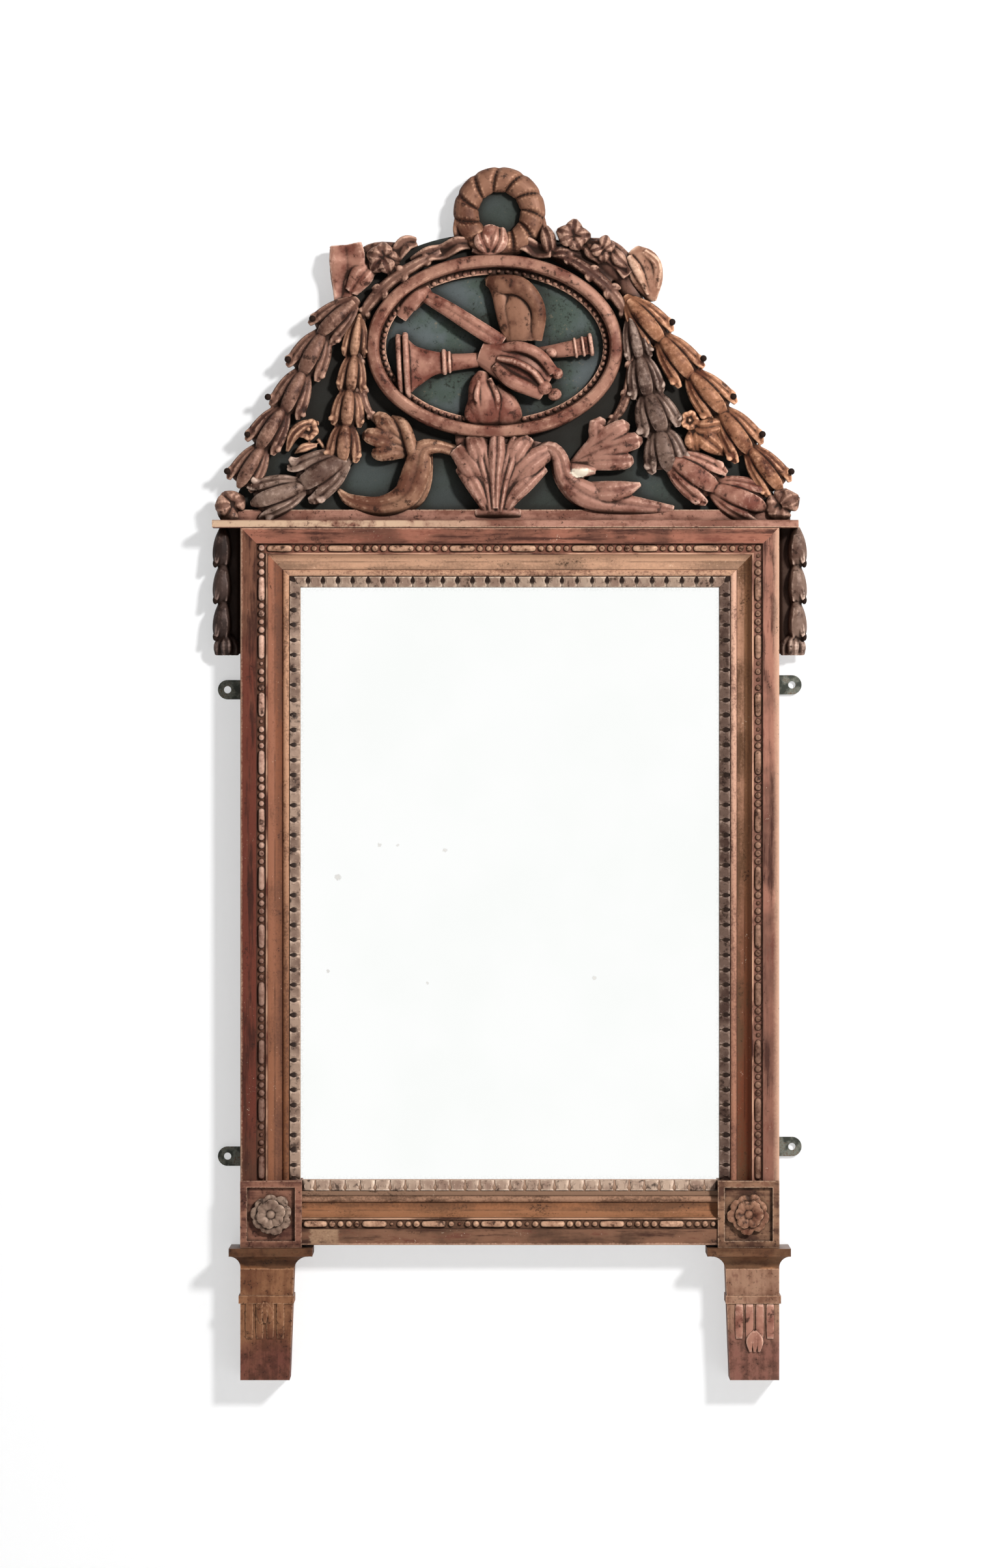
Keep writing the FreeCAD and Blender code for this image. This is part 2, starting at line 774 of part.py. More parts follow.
def bead_rod(length):
    """A half rod along +X from the origin, with its flat on y = 0 and its round side to the front."""
    beads_per_reel = 4
    reel_share = 0.82
    repeat = mm.reel_length + beads_per_reel * mm.bead_pitch
    repeats = max(1, round(length / repeat))
    stretch_share = length / (repeats * repeat)
    reel = mm.reel_length * stretch_share
    pitch = mm.bead_pitch * stretch_share
    reel_radius = mm.bead_radius * reel_share
    edges = []
    here = 0.0

    def line(x_start, r_start, x_end, r_end):
        edges.append(Part.makeLine(Vector(x_start, -r_start, 0), Vector(x_end, -r_end, 0)))

    line(here, 0, here, mm.bead_neck)
    for repeat_index in range(repeats):
        line(here, mm.bead_neck, here, reel_radius)
        line(here, reel_radius, here + reel, reel_radius)
        line(here + reel, reel_radius, here + reel, mm.bead_neck)
        here += reel
        for bead_index in range(beads_per_reel):
            bead = Part.Arc(Vector(here, -mm.bead_neck, 0), Vector(here + pitch / 2, -mm.bead_radius, 0),
                            Vector(here + pitch, -mm.bead_neck, 0))
            edges.append(bead.toShape())
            here += pitch
    line(here, mm.bead_neck, here, 0)
    line(here, 0, 0, 0)
    profile = Part.Face(Part.Wire(Part.__sortEdges__(edges)))
    profile.rotate(Vector(0, 0, 0), Vector(1, 0, 0), -90)
    return profile.revolve(Vector(0, 0, 0), Vector(1, 0, 0), 180)


def build_bead_rows():
    floor_y = -(mm.frame_depth - mm.channel_depth)
    middle = mm.band_width + mm.channel_width / 2
    stile_base = -half_sight_height.value
    stile_top = rail_top.value - mm.band_width
    top_half = outer_x.value - mm.band_width - mm.channel_width
    bottom_half = corner_inner_x.value
    upright = Rotation(Vector(0, 1, 0), -90)
    level = Rotation()
    rows = {
        "left": (stile_top - stile_base, Vector(middle - outer_x.value, floor_y, stile_base), upright),
        "right": (stile_top - stile_base, Vector(outer_x.value - middle, floor_y, stile_base), upright),
        "top": (2 * top_half, Vector(-top_half, floor_y, rail_top.value - middle), level),
        "bottom": (2 * bottom_half, Vector(-bottom_half, floor_y,
                                           stile_base - mm.bottom_rail_width + middle), level),
    }
    for name, (length, point, turn) in rows.items():
        row = shape_piece(f"{name}_bead_rod", bead_rod(length))
        row.Placement = Placement(point, turn)
        finish_piece(f"{name}_bead_row", row)


build_bead_rows()


# Ledge that the cresting stands on

def build_ledge():
    """A ledge with a rounded nose, and a low step on it along the foot of the carving."""
    body = new_body("ledge_strip")
    back = -size.crest_thickness
    front = -size.frame_depth - size.ledge_proud
    top = rail_top + size.ledge_height
    nose = size.ledge_round
    round_share = 0.293
    section = plane_sketch(body, "ledge_section", "YZ_Plane")
    add_outline(section, [
        (back, rail_top),
        (front, rail_top),
        (front, top - nose, front + nose * round_share, top - nose * round_share),
        (front + nose, top),
        (back, top),
    ])
    add_pad(body, "ledge_pad", section, size.ledge_width, side="Symmetric")
    step = plane_sketch(body, "ledge_step", "YZ_Plane")
    add_outline(step, rectangle(back - size.step_proud, top, back, top + size.step_height))
    add_pad(body, "ledge_step_pad", step, size.ledge_width - 2 * size.step_inset, side="Symmetric")
    place(body, size.crest_shift, 0, 0)
    return finish_piece("cornice_ledge", body)


# Cresting board: corners, each with the point that its next edge bends through, as shares of the
# cresting's half width and height
BOARD_SHARES = [
    (-0.964, 0.0, -0.802, 0.295),
    (-0.585, 0.6, -0.44, 0.72),
    (-0.156, 0.81, -0.027, 0.953),
    (0.111, 0.81, 0.37, 0.72),
    (0.505, 0.6, 0.768, 0.318),
    (0.972, 0.0),
]


def build_crest_board():
    """The painted board behind the carving, with a tongue that laps behind the top rail."""
    body = new_body("crest_board_blank")
    half = size.crest_width / 2
    outline = []
    for shares in BOARD_SHARES:
        scales = (half, size.crest_height, half, size.crest_height)
        outline.append([scale * share for scale, share in zip(scales, shares)])
    half_lap = size.lap_width / 2
    outline += [(half_lap, 0), (half_lap, -size.lap_height), (-half_lap, -size.lap_height), (-half_lap, 0)]
    face = plane_sketch(body, "crest_board_face", "XZ_Plane")
    add_outline(face, outline)
    add_pad(body, "crest_board_pad", face, size.crest_thickness)
    place(body, size.crest_shift, 0, rail_top)
    return fitted("crest_board", body, [crest_screws])


build_ledge()
build_crest_board()


# Carved pieces stand on the front of the board, with a flat back and a rounded front

RELIEF_SHARE = 0.75
WALL_SHARE = 0.4
HUSK_SHARES = ((0.0, 0.55), (0.7, 1.0), (0.96, 0.74))


def crest_point(x_share, z_share):
    return Vector(mm.crest_shift + x_share * mm.crest_width / 2, -mm.crest_thickness,
                  rail_top.value + z_share * mm.crest_height)


def arch_section(point, tangent, width, height):
    """A section square to the line that it follows: a chord on the board, two low walls and an arc."""
    across = tangent.cross(FRONT).normalize() * (width / 2)
    relief = min(height, width * RELIEF_SHARE)
    wall = FRONT * (relief * WALL_SHARE)
    near = point - across
    far = point + across
    return Part.Wire([
        Part.makeLine(near, far),
        Part.makeLine(far, far + wall),
        Part.Arc(far + wall, point + FRONT * relief, near + wall).toShape(),
        Part.makeLine(near + wall, near),
    ])


def along_line(points, widths):
    """A smooth line through the points, and functions for its place and width at a share of its length."""
    curve = Part.BSplineCurve()
    curve.interpolate(points)
    first = curve.FirstParameter
    total = curve.length()
    stops = [curve.length(first, curve.parameter(point)) / total for point in points[1:]]
    stops = [0.0] + stops

    def width_at(share):
        for low, high, wide_low, wide_high in zip(stops, stops[1:], widths, widths[1:]):
            if share <= high:
                break
        return wide_low + (wide_high - wide_low) * (share - low) / (high - low)

    def section_at(share, swell_share, height):
        parameter = curve.parameterAtDistance(total * share, first)
        tangent = Vector(*curve.tangent(parameter)[0])
        return arch_section(curve.value(parameter), tangent, width_at(share) * swell_share, height)

    return section_at


def carved_stem(points, widths, height, spans=12):
    """A plain tapering moulding along a line."""
    section_at = along_line(points, widths)
    return Part.makeLoft([section_at(step / spans, 1.0, height) for step in range(spans + 1)], True, True)


def husk_chain(points, widths, height, husks):
    """A string of bell-shaped husks, each flaring towards its open end."""
    section_at = along_line(points, widths)
    sections = []
    for husk in range(husks):
        for share, swell_share in HUSK_SHARES:
            sections.append(section_at((husk + share) / husks, swell_share, height))
    sections.append(section_at(1.0, HUSK_SHARES[0][1], height))
    return Part.makeLoft(sections, True, True)


def share_rows(rows):
    """Points and widths of a line whose rows are shares (across, up, width) of the cresting."""
    points = [crest_point(row[0], row[1]) for row in rows]
    widths = [row[2] * mm.crest_width / 2 for row in rows]
    return points, widths


def flower(centre, radius, height, lobes):
    """A flower of rounded lobes that draws in towards its front."""
    valley_share = 0.8
    levels_shares = ((0.0, 0.92), (0.35, 1.0), (1.0, 0.5))
    wires = []
    for level_share, radius_share in levels_shares:
        ring = radius * radius_share

        def spot(step, reach):
            angle = math.pi * step / lobes
            return centre + Vector(reach * math.cos(angle), -height * level_share, reach * math.sin(angle))

        arcs = []
        for lobe in range(lobes):
            start = spot(2 * lobe, ring * valley_share)
            finish = spot(2 * lobe + 2, ring * valley_share)
            arcs.append(Part.Arc(start, spot(2 * lobe + 1, ring), finish).toShape())
        wires.append(Part.Wire(arcs))
    return Part.makeLoft(wires, True, True)


def clear_of(shape, nodes):
    """The shape with room cut for pieces that lie over it; splinters are dropped."""
    splinter_share = 0.06
    for node in nodes:
        other = pieces[node].Shape
        if shape.BoundBox.intersect(other.BoundBox):
            shape = shape.cut(other)
    largest = max(solid.Volume for solid in shape.Solids)
    kept = [solid for solid in shape.Solids if solid.Volume > splinter_share * largest]
    return kept[0] if len(kept) == 1 else Part.makeCompound(kept)


def carve(node, shape, under=()):
    doc.recompute()
    return finish_piece(node, shape_piece(f"{node}_carving", clear_of(shape, under)))


# Oval medallion

def medallion_ellipse(inset, level):
    centre = Vector(mm.crest_shift + mm.medallion_shift, -mm.crest_thickness - level,
                    rail_top.value + mm.medallion_rise)
    across = Vector(mm.medallion_width / 2 - inset, 0, 0)
    up = Vector(0, 0, mm.medallion_height / 2 - inset)
    return Part.Wire(Part.Ellipse(centre + across, centre + up, centre).toShape())


def build_medallion():
    shoulder_share = 0.1
    crown_share = 0.36
    inner_share = 0.84
    rise_share = 0.6
    height = mm.rim_height
    seat = mm.pearl_seat_height
    opening = mm.rim_width + mm.pearl_seat
    past = mm.overrun
    body = Part.makeLoft([
        medallion_ellipse(0, 0),
        medallion_ellipse(mm.rim_width * shoulder_share, height * rise_share),
        medallion_ellipse(mm.rim_width * crown_share, height),
    ], True, True)
    step = Part.makeLoft([
        medallion_ellipse(mm.rim_width, seat),
        medallion_ellipse(mm.rim_width * inner_share, height + past),
    ], True, True)
    hole_ends = [medallion_ellipse(opening, -past), medallion_ellipse(opening, seat + past)]
    hole = Part.makeLoft(hole_ends, True, True)
    carve("medallion_rim", body.cut(step).cut(hole))
    row = medallion_ellipse(mm.rim_width + mm.pearl_seat / 2, seat)
    gap_share = 1.12
    count = int(row.Length / (2 * mm.pearl_radius * gap_share))
    pearls = [Part.makeSphere(mm.pearl_radius, point, FRONT, 0, 90, 360)
              for point in row.discretize(Number=count + 1)[:-1]]
    carve("medallion_pearls", Part.makeCompound(pearls))


build_medallion()


# Trophy in the medallion: rows are shares (across, up, width) of the cresting
DRUM_SHARES = [(-0.045, 0.472, 0.115), (0.02, 0.444, 0.178), (0.093, 0.411, 0.178), (0.155, 0.383, 0.115)]
PLUME_SHARES = [(-0.054, 0.662, 0.067), (0.009, 0.644, 0.124), (0.04, 0.591, 0.155), (0.04, 0.537, 0.124),
                (0.031, 0.505, 0.084)]
BAG_SHARES = [(-0.107, 0.422, 0.08), (-0.076, 0.383, 0.133), (-0.049, 0.336, 0.142), (-0.036, 0.305, 0.098)]
HANDLE_SHARES = [(-0.267, 0.626, 0.031), (-0.031, 0.506, 0.04)]
HEAD_SHARES = [(-0.247, 0.644, 0.036), (-0.298, 0.598, 0.058), (-0.353, 0.555, 0.049)]
HORN_SHARES = [(-0.378, 0.442, 0.218), (-0.335, 0.444, 0.209), (-0.28, 0.447, 0.129), (-0.222, 0.453, 0.08),
               (-0.196, 0.454, 0.093), (-0.178, 0.456, 0.058), (-0.058, 0.469, 0.049), (0.164, 0.488, 0.049),
               (0.288, 0.501, 0.031)]
medallion = ["medallion_rim", "medallion_pearls"]
trophy_height = mm.rim_height
carve("trophy_drum", carved_stem(*share_rows(DRUM_SHARES), trophy_height))
carve("trophy_plume", carved_stem(*share_rows(PLUME_SHARES), trophy_height), medallion + ["trophy_drum"])
carve("trophy_bag", carved_stem(*share_rows(BAG_SHARES), trophy_height), medallion + ["trophy_drum"])
mattock = carved_stem(*share_rows(HANDLE_SHARES), trophy_height)
mattock = mattock.fuse(carved_stem(*share_rows(HEAD_SHARES), trophy_height)).removeSplitter()
carve("trophy_mattock", mattock, medallion + ["trophy_drum", "trophy_plume"])
carve("trophy_horn", carved_stem(*share_rows(HORN_SHARES), trophy_height, spans=24),
      medallion + ["trophy_drum", "trophy_plume", "trophy_bag", "trophy_mattock"])


# Ribbon ring that crowns the cresting, with a knot between its ends

def build_ribbon_ring():
    pleats = 7
    opening_degrees = 70
    pinch_share = 0.8
    centre = Vector(mm.crest_shift + mm.ring_shift, -mm.crest_thickness, rail_top.value + mm.ring_rise)
    sections = []
    for step in range(2 * pleats + 1):
        turn = (360 - opening_degrees) * step / (2 * pleats)
        angle = math.radians(opening_degrees / 2 - 90 + turn)
        outward = Vector(math.cos(angle), 0, math.sin(angle))
        tangent = Vector(-math.sin(angle), 0, math.cos(angle))
        swell_share = 1.0 if step % 2 else pinch_share
        sections.append(arch_section(centre + outward * mm.ring_radius, tangent,
                                     mm.ring_width * swell_share, mm.ring_height * swell_share))
    carve("ribbon_ring", Part.makeLoft(sections, True, True), ["medallion_rim"])


KNOT_SHARES = [(-0.047, 0.824, 0.04), (-0.045, 0.795, 0.093), (-0.042, 0.766, 0.075)]
build_ribbon_ring()
carve("ribbon_knot", carved_stem(*share_rows(KNOT_SHARES), mm.husk_height), ["medallion_rim", "ribbon_ring"])


# Ribbons, garlands, scrolls and flowers: rows are shares (across, up, width) of the cresting
ACANTHUS_SHARES = [(-0.031, 0.229, 0.377), (-0.031, 0.187, 0.333), (-0.027, 0.134, 0.222),
                   (-0.025, 0.08, 0.138), (-0.022, 0.035, 0.111)]
RIBBON_SHARES = {
    "left": [(-0.138, 0.781, 0.067), (-0.247, 0.773, 0.102), (-0.347, 0.738, 0.12), (-0.431, 0.698, 0.111),
             (-0.489, 0.659, 0.075)],
    "right": [(0.097, 0.781, 0.067), (0.191, 0.784, 0.107), (0.286, 0.757, 0.12), (0.359, 0.72, 0.111),
              (0.402, 0.677, 0.075)],
}
TAIL_SHARES = {
    "left": [(-0.562, 0.772, 0.062), (-0.562, 0.716, 0.08), (-0.562, 0.662, 0.08), (-0.56, 0.616, 0.067)],
    "right": [(0.475, 0.739, 0.062), (0.479, 0.689, 0.111), (0.466, 0.644, 0.098), (0.448, 0.612, 0.053)],
}
SCROLL_SHARES = {
    "left": [(-0.48, 0.246, 0.058), (-0.429, 0.277, 0.084), (-0.364, 0.268, 0.049), (-0.32, 0.205, 0.04),
             (-0.311, 0.146, 0.04), (-0.364, 0.08, 0.049), (-0.48, 0.056, 0.058), (-0.602, 0.067, 0.036)],
    "right": [(0.448, 0.225, 0.058), (0.364, 0.254, 0.098), (0.286, 0.218, 0.062), (0.231, 0.168, 0.04),
              (0.244, 0.114, 0.04), (0.308, 0.074, 0.049), (0.422, 0.055, 0.053), (0.586, 0.071, 0.036)],
}
INNER_SHARES = {
    "left": [(-0.513, 0.573, 0.07), (-0.533, 0.501, 0.09), (-0.546, 0.42, 0.105), (-0.553, 0.331, 0.112),
             (-0.56, 0.25, 0.118), (-0.566, 0.187, 0.09)],
    "right": [(0.422, 0.546, 0.075), (0.448, 0.474, 0.11), (0.479, 0.393, 0.13), (0.51, 0.313, 0.138),
              (0.533, 0.241, 0.138), (0.539, 0.173, 0.09)],
}
OUTER_SHARES = {
    "left": [(-0.56, 0.601, 0.058), (-0.613, 0.546, 0.098), (-0.662, 0.492, 0.102), (-0.706, 0.433, 0.102),
             (-0.746, 0.375, 0.107), (-0.791, 0.309, 0.107), (-0.83, 0.246, 0.107), (-0.866, 0.184, 0.102),
             (-0.893, 0.121, 0.089)],
    "right": [(0.497, 0.601, 0.058), (0.546, 0.54, 0.098), (0.599, 0.483, 0.102), (0.652, 0.42, 0.102),
              (0.71, 0.365, 0.107), (0.768, 0.309, 0.107), (0.826, 0.246, 0.107), (0.87, 0.182, 0.102),
              (0.901, 0.121, 0.089)],
}
LOWER_SHARES = {
    "left": [(-0.569, 0.186, 0.058), (-0.613, 0.153, 0.12), (-0.662, 0.121, 0.133), (-0.713, 0.094, 0.098),
             (-0.773, 0.069, 0.124), (-0.839, 0.055, 0.098), (-0.879, 0.051, 0.067)],
    "right": [(0.546, 0.168, 0.058), (0.597, 0.142, 0.111), (0.657, 0.121, 0.129), (0.715, 0.096, 0.098),
              (0.781, 0.073, 0.124), (0.848, 0.058, 0.102), (0.883, 0.053, 0.067)],
}
CORNER_FLOWER_SHARES = {"left": (-0.946, 0.066, 0.12), "right": (0.948, 0.066, 0.12)}
SIDE_FLOWER_SHARES = {"left": (-0.68, 0.248, 0.084), "right": (0.657, 0.268, 0.089)}


def flower_at(shares, lobes):
    x_share, z_share, width_share = shares
    radius = width_share * mm.crest_width / 4
    return flower(crest_point(x_share, z_share), radius, mm.husk_height, lobes)


def build_carving(side_name):
    """The garlands, ribbons, scroll and flowers of one side, the uppermost layers first."""
    outer_husks = 5
    inner_husks = 4
    swags = 4
    lower_husks = 2
    flower_lobes = 7
    side_lobes = 5
    name = f"{side_name}_ribbon"
    carve(name, husk_chain(*share_rows(RIBBON_SHARES[side_name]), mm.husk_height, swags),
          ["medallion_rim", "ribbon_ring", "ribbon_knot"])
    tail = f"{side_name}_ribbon_tail"
    carve(tail, carved_stem(*share_rows(TAIL_SHARES[side_name]), mm.husk_height), [name, "medallion_rim"])
    inner = f"{side_name}_inner_garland"
    carve(inner, husk_chain(*share_rows(INNER_SHARES[side_name]), mm.husk_height, inner_husks),
          ["medallion_rim", tail])
    outer = f"{side_name}_outer_garland"
    carve(outer, husk_chain(*share_rows(OUTER_SHARES[side_name]), mm.husk_height, outer_husks), [inner, tail])
    scroll = f"{side_name}_scroll"
    carve(scroll, carved_stem(*share_rows(SCROLL_SHARES[side_name]), mm.husk_height, spans=28),
          ["cornice_ledge", "medallion_rim", "acanthus_leaf", inner])
    corner = f"{side_name}_corner_flower"
    carve(corner, flower_at(CORNER_FLOWER_SHARES[side_name], flower_lobes), ["cornice_ledge", outer])
    lower = f"{side_name}_lower_garland"
    carve(lower, husk_chain(*share_rows(LOWER_SHARES[side_name]), mm.husk_height, lower_husks),
          ["cornice_ledge", inner, outer, scroll, corner])
    carve(f"{side_name}_side_flower", flower_at(SIDE_FLOWER_SHARES[side_name], side_lobes), [inner, outer])


carve("acanthus_leaf", carved_stem(*share_rows(ACANTHUS_SHARES), mm.rim_height),
      ["cornice_ledge", "medallion_rim"])
for side_name in SIDES:
    build_carving(side_name)


# Husk drops under the ends of the ledge, each on a strip glued to the side of its stile

def build_pendant(side_name, side):
    husks = 3
    end_share = 0.6
    reach = mm.pendant_gap + mm.pendant_width / 2
    across = side * (outer_x.value + reach)
    top = Vector(across, -mm.crest_thickness, rail_top.value)
    base = top - Vector(0, 0, mm.pendant_length)
    widths = [mm.pendant_width, mm.pendant_width * end_share]
    strip_corner = Vector(min(across, side * outer_x.value), -mm.crest_thickness, base.z)
    strip = Part.makeBox(reach, mm.pendant_backing, mm.pendant_length, strip_corner)
    drop = husk_chain([top, base], widths, mm.husk_height, husks).fuse(strip)
    carve(f"{side_name}_pendant", drop, ["crest_board"])


# Rosettes in the sunk fields of the corner blocks

def build_rosette(side_name, side):
    petals = 8
    button_share = 0.36
    button_lobes = 6
    centre = Vector(side * (corner_inner_x + corner_width / 2).value,
                    -(corner_depth - size.corner_recess).value,
                    -(half_sight_height + size.corner_height / 2).value)
    petal_ring = flower(centre, mm.rosette_radius, mm.rosette_height, petals)
    button_base = centre + FRONT * (mm.rosette_height * (1 - button_share))
    button = flower(button_base, mm.rosette_radius * button_share, mm.rosette_height, button_lobes)
    carve(f"{side_name}_rosette", petal_ring.fuse(button))


for side_name, side in SIDES.items():
    build_pendant(side_name, side)
    build_rosette(side_name, side)


# Check every object, then write each piece

doc.recompute()
for item in doc.Objects:
    if "Invalid" in item.State or "Error" in item.State:
        raise RuntimeError(f"{item.Label} failed: {item.State}")
for node, item in pieces.items():
    if item.Shape.isNull() or not item.Shape.isValid() or not item.Shape.Solids:
        raise RuntimeError(f"{node} has no valid solid")

os.makedirs("parts", exist_ok=True)
for node, item in pieces.items():
    item.Shape.exportStep(f"parts/{node}.step")
print(f"{len(pieces)} pieces written")
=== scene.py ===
# %% [markdown]
# # A worn giltwood wall mirror
# The construction model gives every board, moulding and fixing at its real place. This lesson dresses it:
# the plain mouldings keep their own meshes and get worn gilding, and every carving is modelled anew as
# petals, husks and ribbons that are fused into one skin, the way a carver leaves one block.

import math
import random

import bpy
import numpy as np
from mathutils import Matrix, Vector


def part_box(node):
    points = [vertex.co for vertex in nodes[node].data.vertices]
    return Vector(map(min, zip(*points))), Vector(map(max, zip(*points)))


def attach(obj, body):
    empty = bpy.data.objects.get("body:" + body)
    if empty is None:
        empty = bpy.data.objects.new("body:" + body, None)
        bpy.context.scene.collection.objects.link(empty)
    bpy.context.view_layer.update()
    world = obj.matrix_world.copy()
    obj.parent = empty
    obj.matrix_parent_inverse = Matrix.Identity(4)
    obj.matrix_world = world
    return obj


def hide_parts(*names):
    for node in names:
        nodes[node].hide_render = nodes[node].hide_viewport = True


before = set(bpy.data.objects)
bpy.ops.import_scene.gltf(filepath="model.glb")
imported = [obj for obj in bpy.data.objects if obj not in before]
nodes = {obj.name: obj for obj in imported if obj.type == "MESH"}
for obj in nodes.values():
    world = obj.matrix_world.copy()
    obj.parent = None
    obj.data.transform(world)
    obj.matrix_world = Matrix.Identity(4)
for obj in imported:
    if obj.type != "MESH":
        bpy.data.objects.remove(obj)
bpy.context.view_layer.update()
print("construction nodes:", len(nodes))

# %% [markdown]
# ## Places
# The photograph looks straight at the wall, so a pixel of it is a place on the mirror's front. One function
# turns a pixel and a height off the crest board into a point. Most carvings are placed with it, and the rest
# by the boxes of the construction nodes that they stand for.

# %% Places on the crest
MM = 0.001
PIXEL = 0.535 * MM
ORIGIN_COLUMN = 783.0
ORIGIN_ROW = 1357.2
FRONT = np.array((0.0, -1.0, 0.0))
BOARD_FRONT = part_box("crest_board")[0].y


def spot(column, row, rise):
    """The point seen at a pixel, so many millimetres in front of the crest board."""
    return np.array(((column - ORIGIN_COLUMN) * PIXEL, BOARD_FRONT - rise * MM, (ORIGIN_ROW - row) * PIXEL))


print("crest board front at", round(BOARD_FRONT / MM, 2), "mm")

# %% [markdown]
# ## One skin along a line
# Leaves, husks, ribbons, stems and horns are all a section drawn along a line while its width and height
# change. Curves with a bevel could do that, but a carved leaf needs a groove on top and a flat underside,
# so the skin is worked out point by point: a smooth line through a few rows, and one outline around it.

# %% Smooth lines
FINE_STEPS = 16


def smooth_rows(rows, count):
    """Evenly spaced samples of a smooth curve through the rows; every column is carried along."""
    rows = np.asarray(rows, float)
    padded = np.vstack([2 * rows[0] - rows[1], rows, 2 * rows[-1] - rows[-2]])
    share = np.linspace(0, 1, FINE_STEPS, endpoint=False)[:, None]
    spans = []
    for before, start, end, after in zip(padded, padded[1:], padded[2:], padded[3:]):
        linear = end - before
        square = 2 * before - 5 * start + 4 * end - after
        cube = 3 * start - before - 3 * end + after
        spans.append(start + 0.5 * (linear * share + square * share ** 2 + cube * share ** 3))
    fine = np.vstack(spans + [rows[-1:]])
    steps = np.linalg.norm(np.diff(fine[:, :3], axis=0), axis=1)
    reach = np.concatenate([[0], np.cumsum(steps)])
    wanted = np.linspace(0, reach[-1], count)
    return np.column_stack([np.interp(wanted, reach, column) for column in fine.T])


def unit(vectors):
    """The same directions with length one."""
    return vectors / np.maximum(np.linalg.norm(vectors, axis=-1, keepdims=True), 1e-12)


print("a smooth line has", FINE_STEPS, "samples between two rows")


# %% Closed skins
def skin(rings):
    """A closed mesh through rings of points, with a fan over each end, and its faces looking outwards."""
    steps, sides, _ = rings.shape
    points = np.vstack([rings.reshape(-1, 3), rings[0].mean(0), rings[-1].mean(0)])
    start, end = steps * sides, steps * sides + 1
    faces = []
    for step in range(steps - 1):
        for side in range(sides):
            after = (side + 1) % sides
            low, high = step * sides, (step + 1) * sides
            faces.append((low + side, low + after, high + after, high + side))
    last = (steps - 1) * sides
    for side in range(sides):
        after = (side + 1) % sides
        faces.append((start, after, side))
        faces.append((end, last + side, last + after))
    middle = points.mean(0)
    volume = 0.0
    for face in faces:
        corners = points[list(face)] - middle
        for second, third in zip(corners[1:], corners[2:]):
            volume += np.dot(corners[0], np.cross(second, third))
    if volume < 0:
        faces = [face[::-1] for face in faces]
    return points, faces


POLE_GAP = 0.12


def ball(middle, radii, sides=14, steps=9):
    """A closed egg with three radii, in metres."""
    turn = np.linspace(0, 2 * math.pi, sides, endpoint=False)
    climb = np.linspace(POLE_GAP, math.pi - POLE_GAP, steps)
    rings = np.stack([
        np.sin(climb)[:, None] * np.cos(turn)[None, :] * radii[0],
        np.repeat(np.cos(climb)[:, None], sides, axis=1) * radii[1],
        np.sin(climb)[:, None] * np.sin(turn)[None, :] * radii[2],
    ], axis=-1)
    return skin(rings + np.asarray(middle))


print("points of a small ball:", len(ball((0, 0, 0), (1, 1, 1))[0]))


# %% Sections
def outline(crown, under, groove=0.0, groove_width=0.2, points=9):
    """A cut across a carved form: a crowned top with an optional groove, and a flatter underside."""
    across = np.sin(np.linspace(-math.pi / 2, math.pi / 2, points))
    swell = np.sqrt(np.maximum(1 - across ** 2, 0))
    top = crown * swell - groove * np.exp(-(across / groove_width) ** 2) * swell
    bottom = -under * swell[1:-1]
    return np.column_stack([
        np.concatenate([across, across[-2:0:-1]]),
        np.concatenate([top, bottom[::-1]]),
    ])


POD = outline(1.0, 1.0)
LEAF = outline(1.0, 0.5, groove=0.36)
PLAIN_LEAF = outline(1.0, 0.5)
BROAD_LEAF = outline(1.0, 0.5, groove=0.22, groove_width=0.3)
RIBBON = outline(0.8, 0.6, groove=0.9, groove_width=0.6)
print("points round a section:", len(POD))


# %% Sweeps
def sweep(rows, section, steps=14, roll=0.0):
    """A closed skin along rows of (x, y, z, half width, half height), all in metres."""
    line = smooth_rows(rows, steps)
    middle, width, height = line[:, :3], line[:, 3], line[:, 4]
    along = unit(np.gradient(middle, axis=0))
    out = unit(FRONT - along * (along @ FRONT)[:, None])
    across = np.cross(along, out)
    turned_out = out * math.cos(roll) + across * math.sin(roll)
    turned_across = across * math.cos(roll) - out * math.sin(roll)
    rings = (
        middle[:, None, :]
        + turned_across[:, None, :] * (section[None, :, 0] * width[:, None])[:, :, None]
        + turned_out[:, None, :] * (section[None, :, 1] * height[:, None])[:, :, None]
    )
    return skin(rings)


def in_metres(path):
    """Rows for a sweep, from stops of (column, row, rise, half width, half height), the last three in mm."""
    return [[*spot(column, row, rise), width * MM, height * MM] for column, row, rise, width, height in path]


def stroke(path, section, steps=14):
    """A sweep along stops that are written in pixels and millimetres."""
    return sweep(in_metres(path), section, steps)


print("sweeps and strokes ready")

# %% [markdown]
# ## Finishes
# Old gilding is layers: white gesso, red bole, leaf, and dirt on top. Each finish mixes those by wear, so
# the same maths is used again and again. A small class wraps a socket, and sums on it add Math nodes.

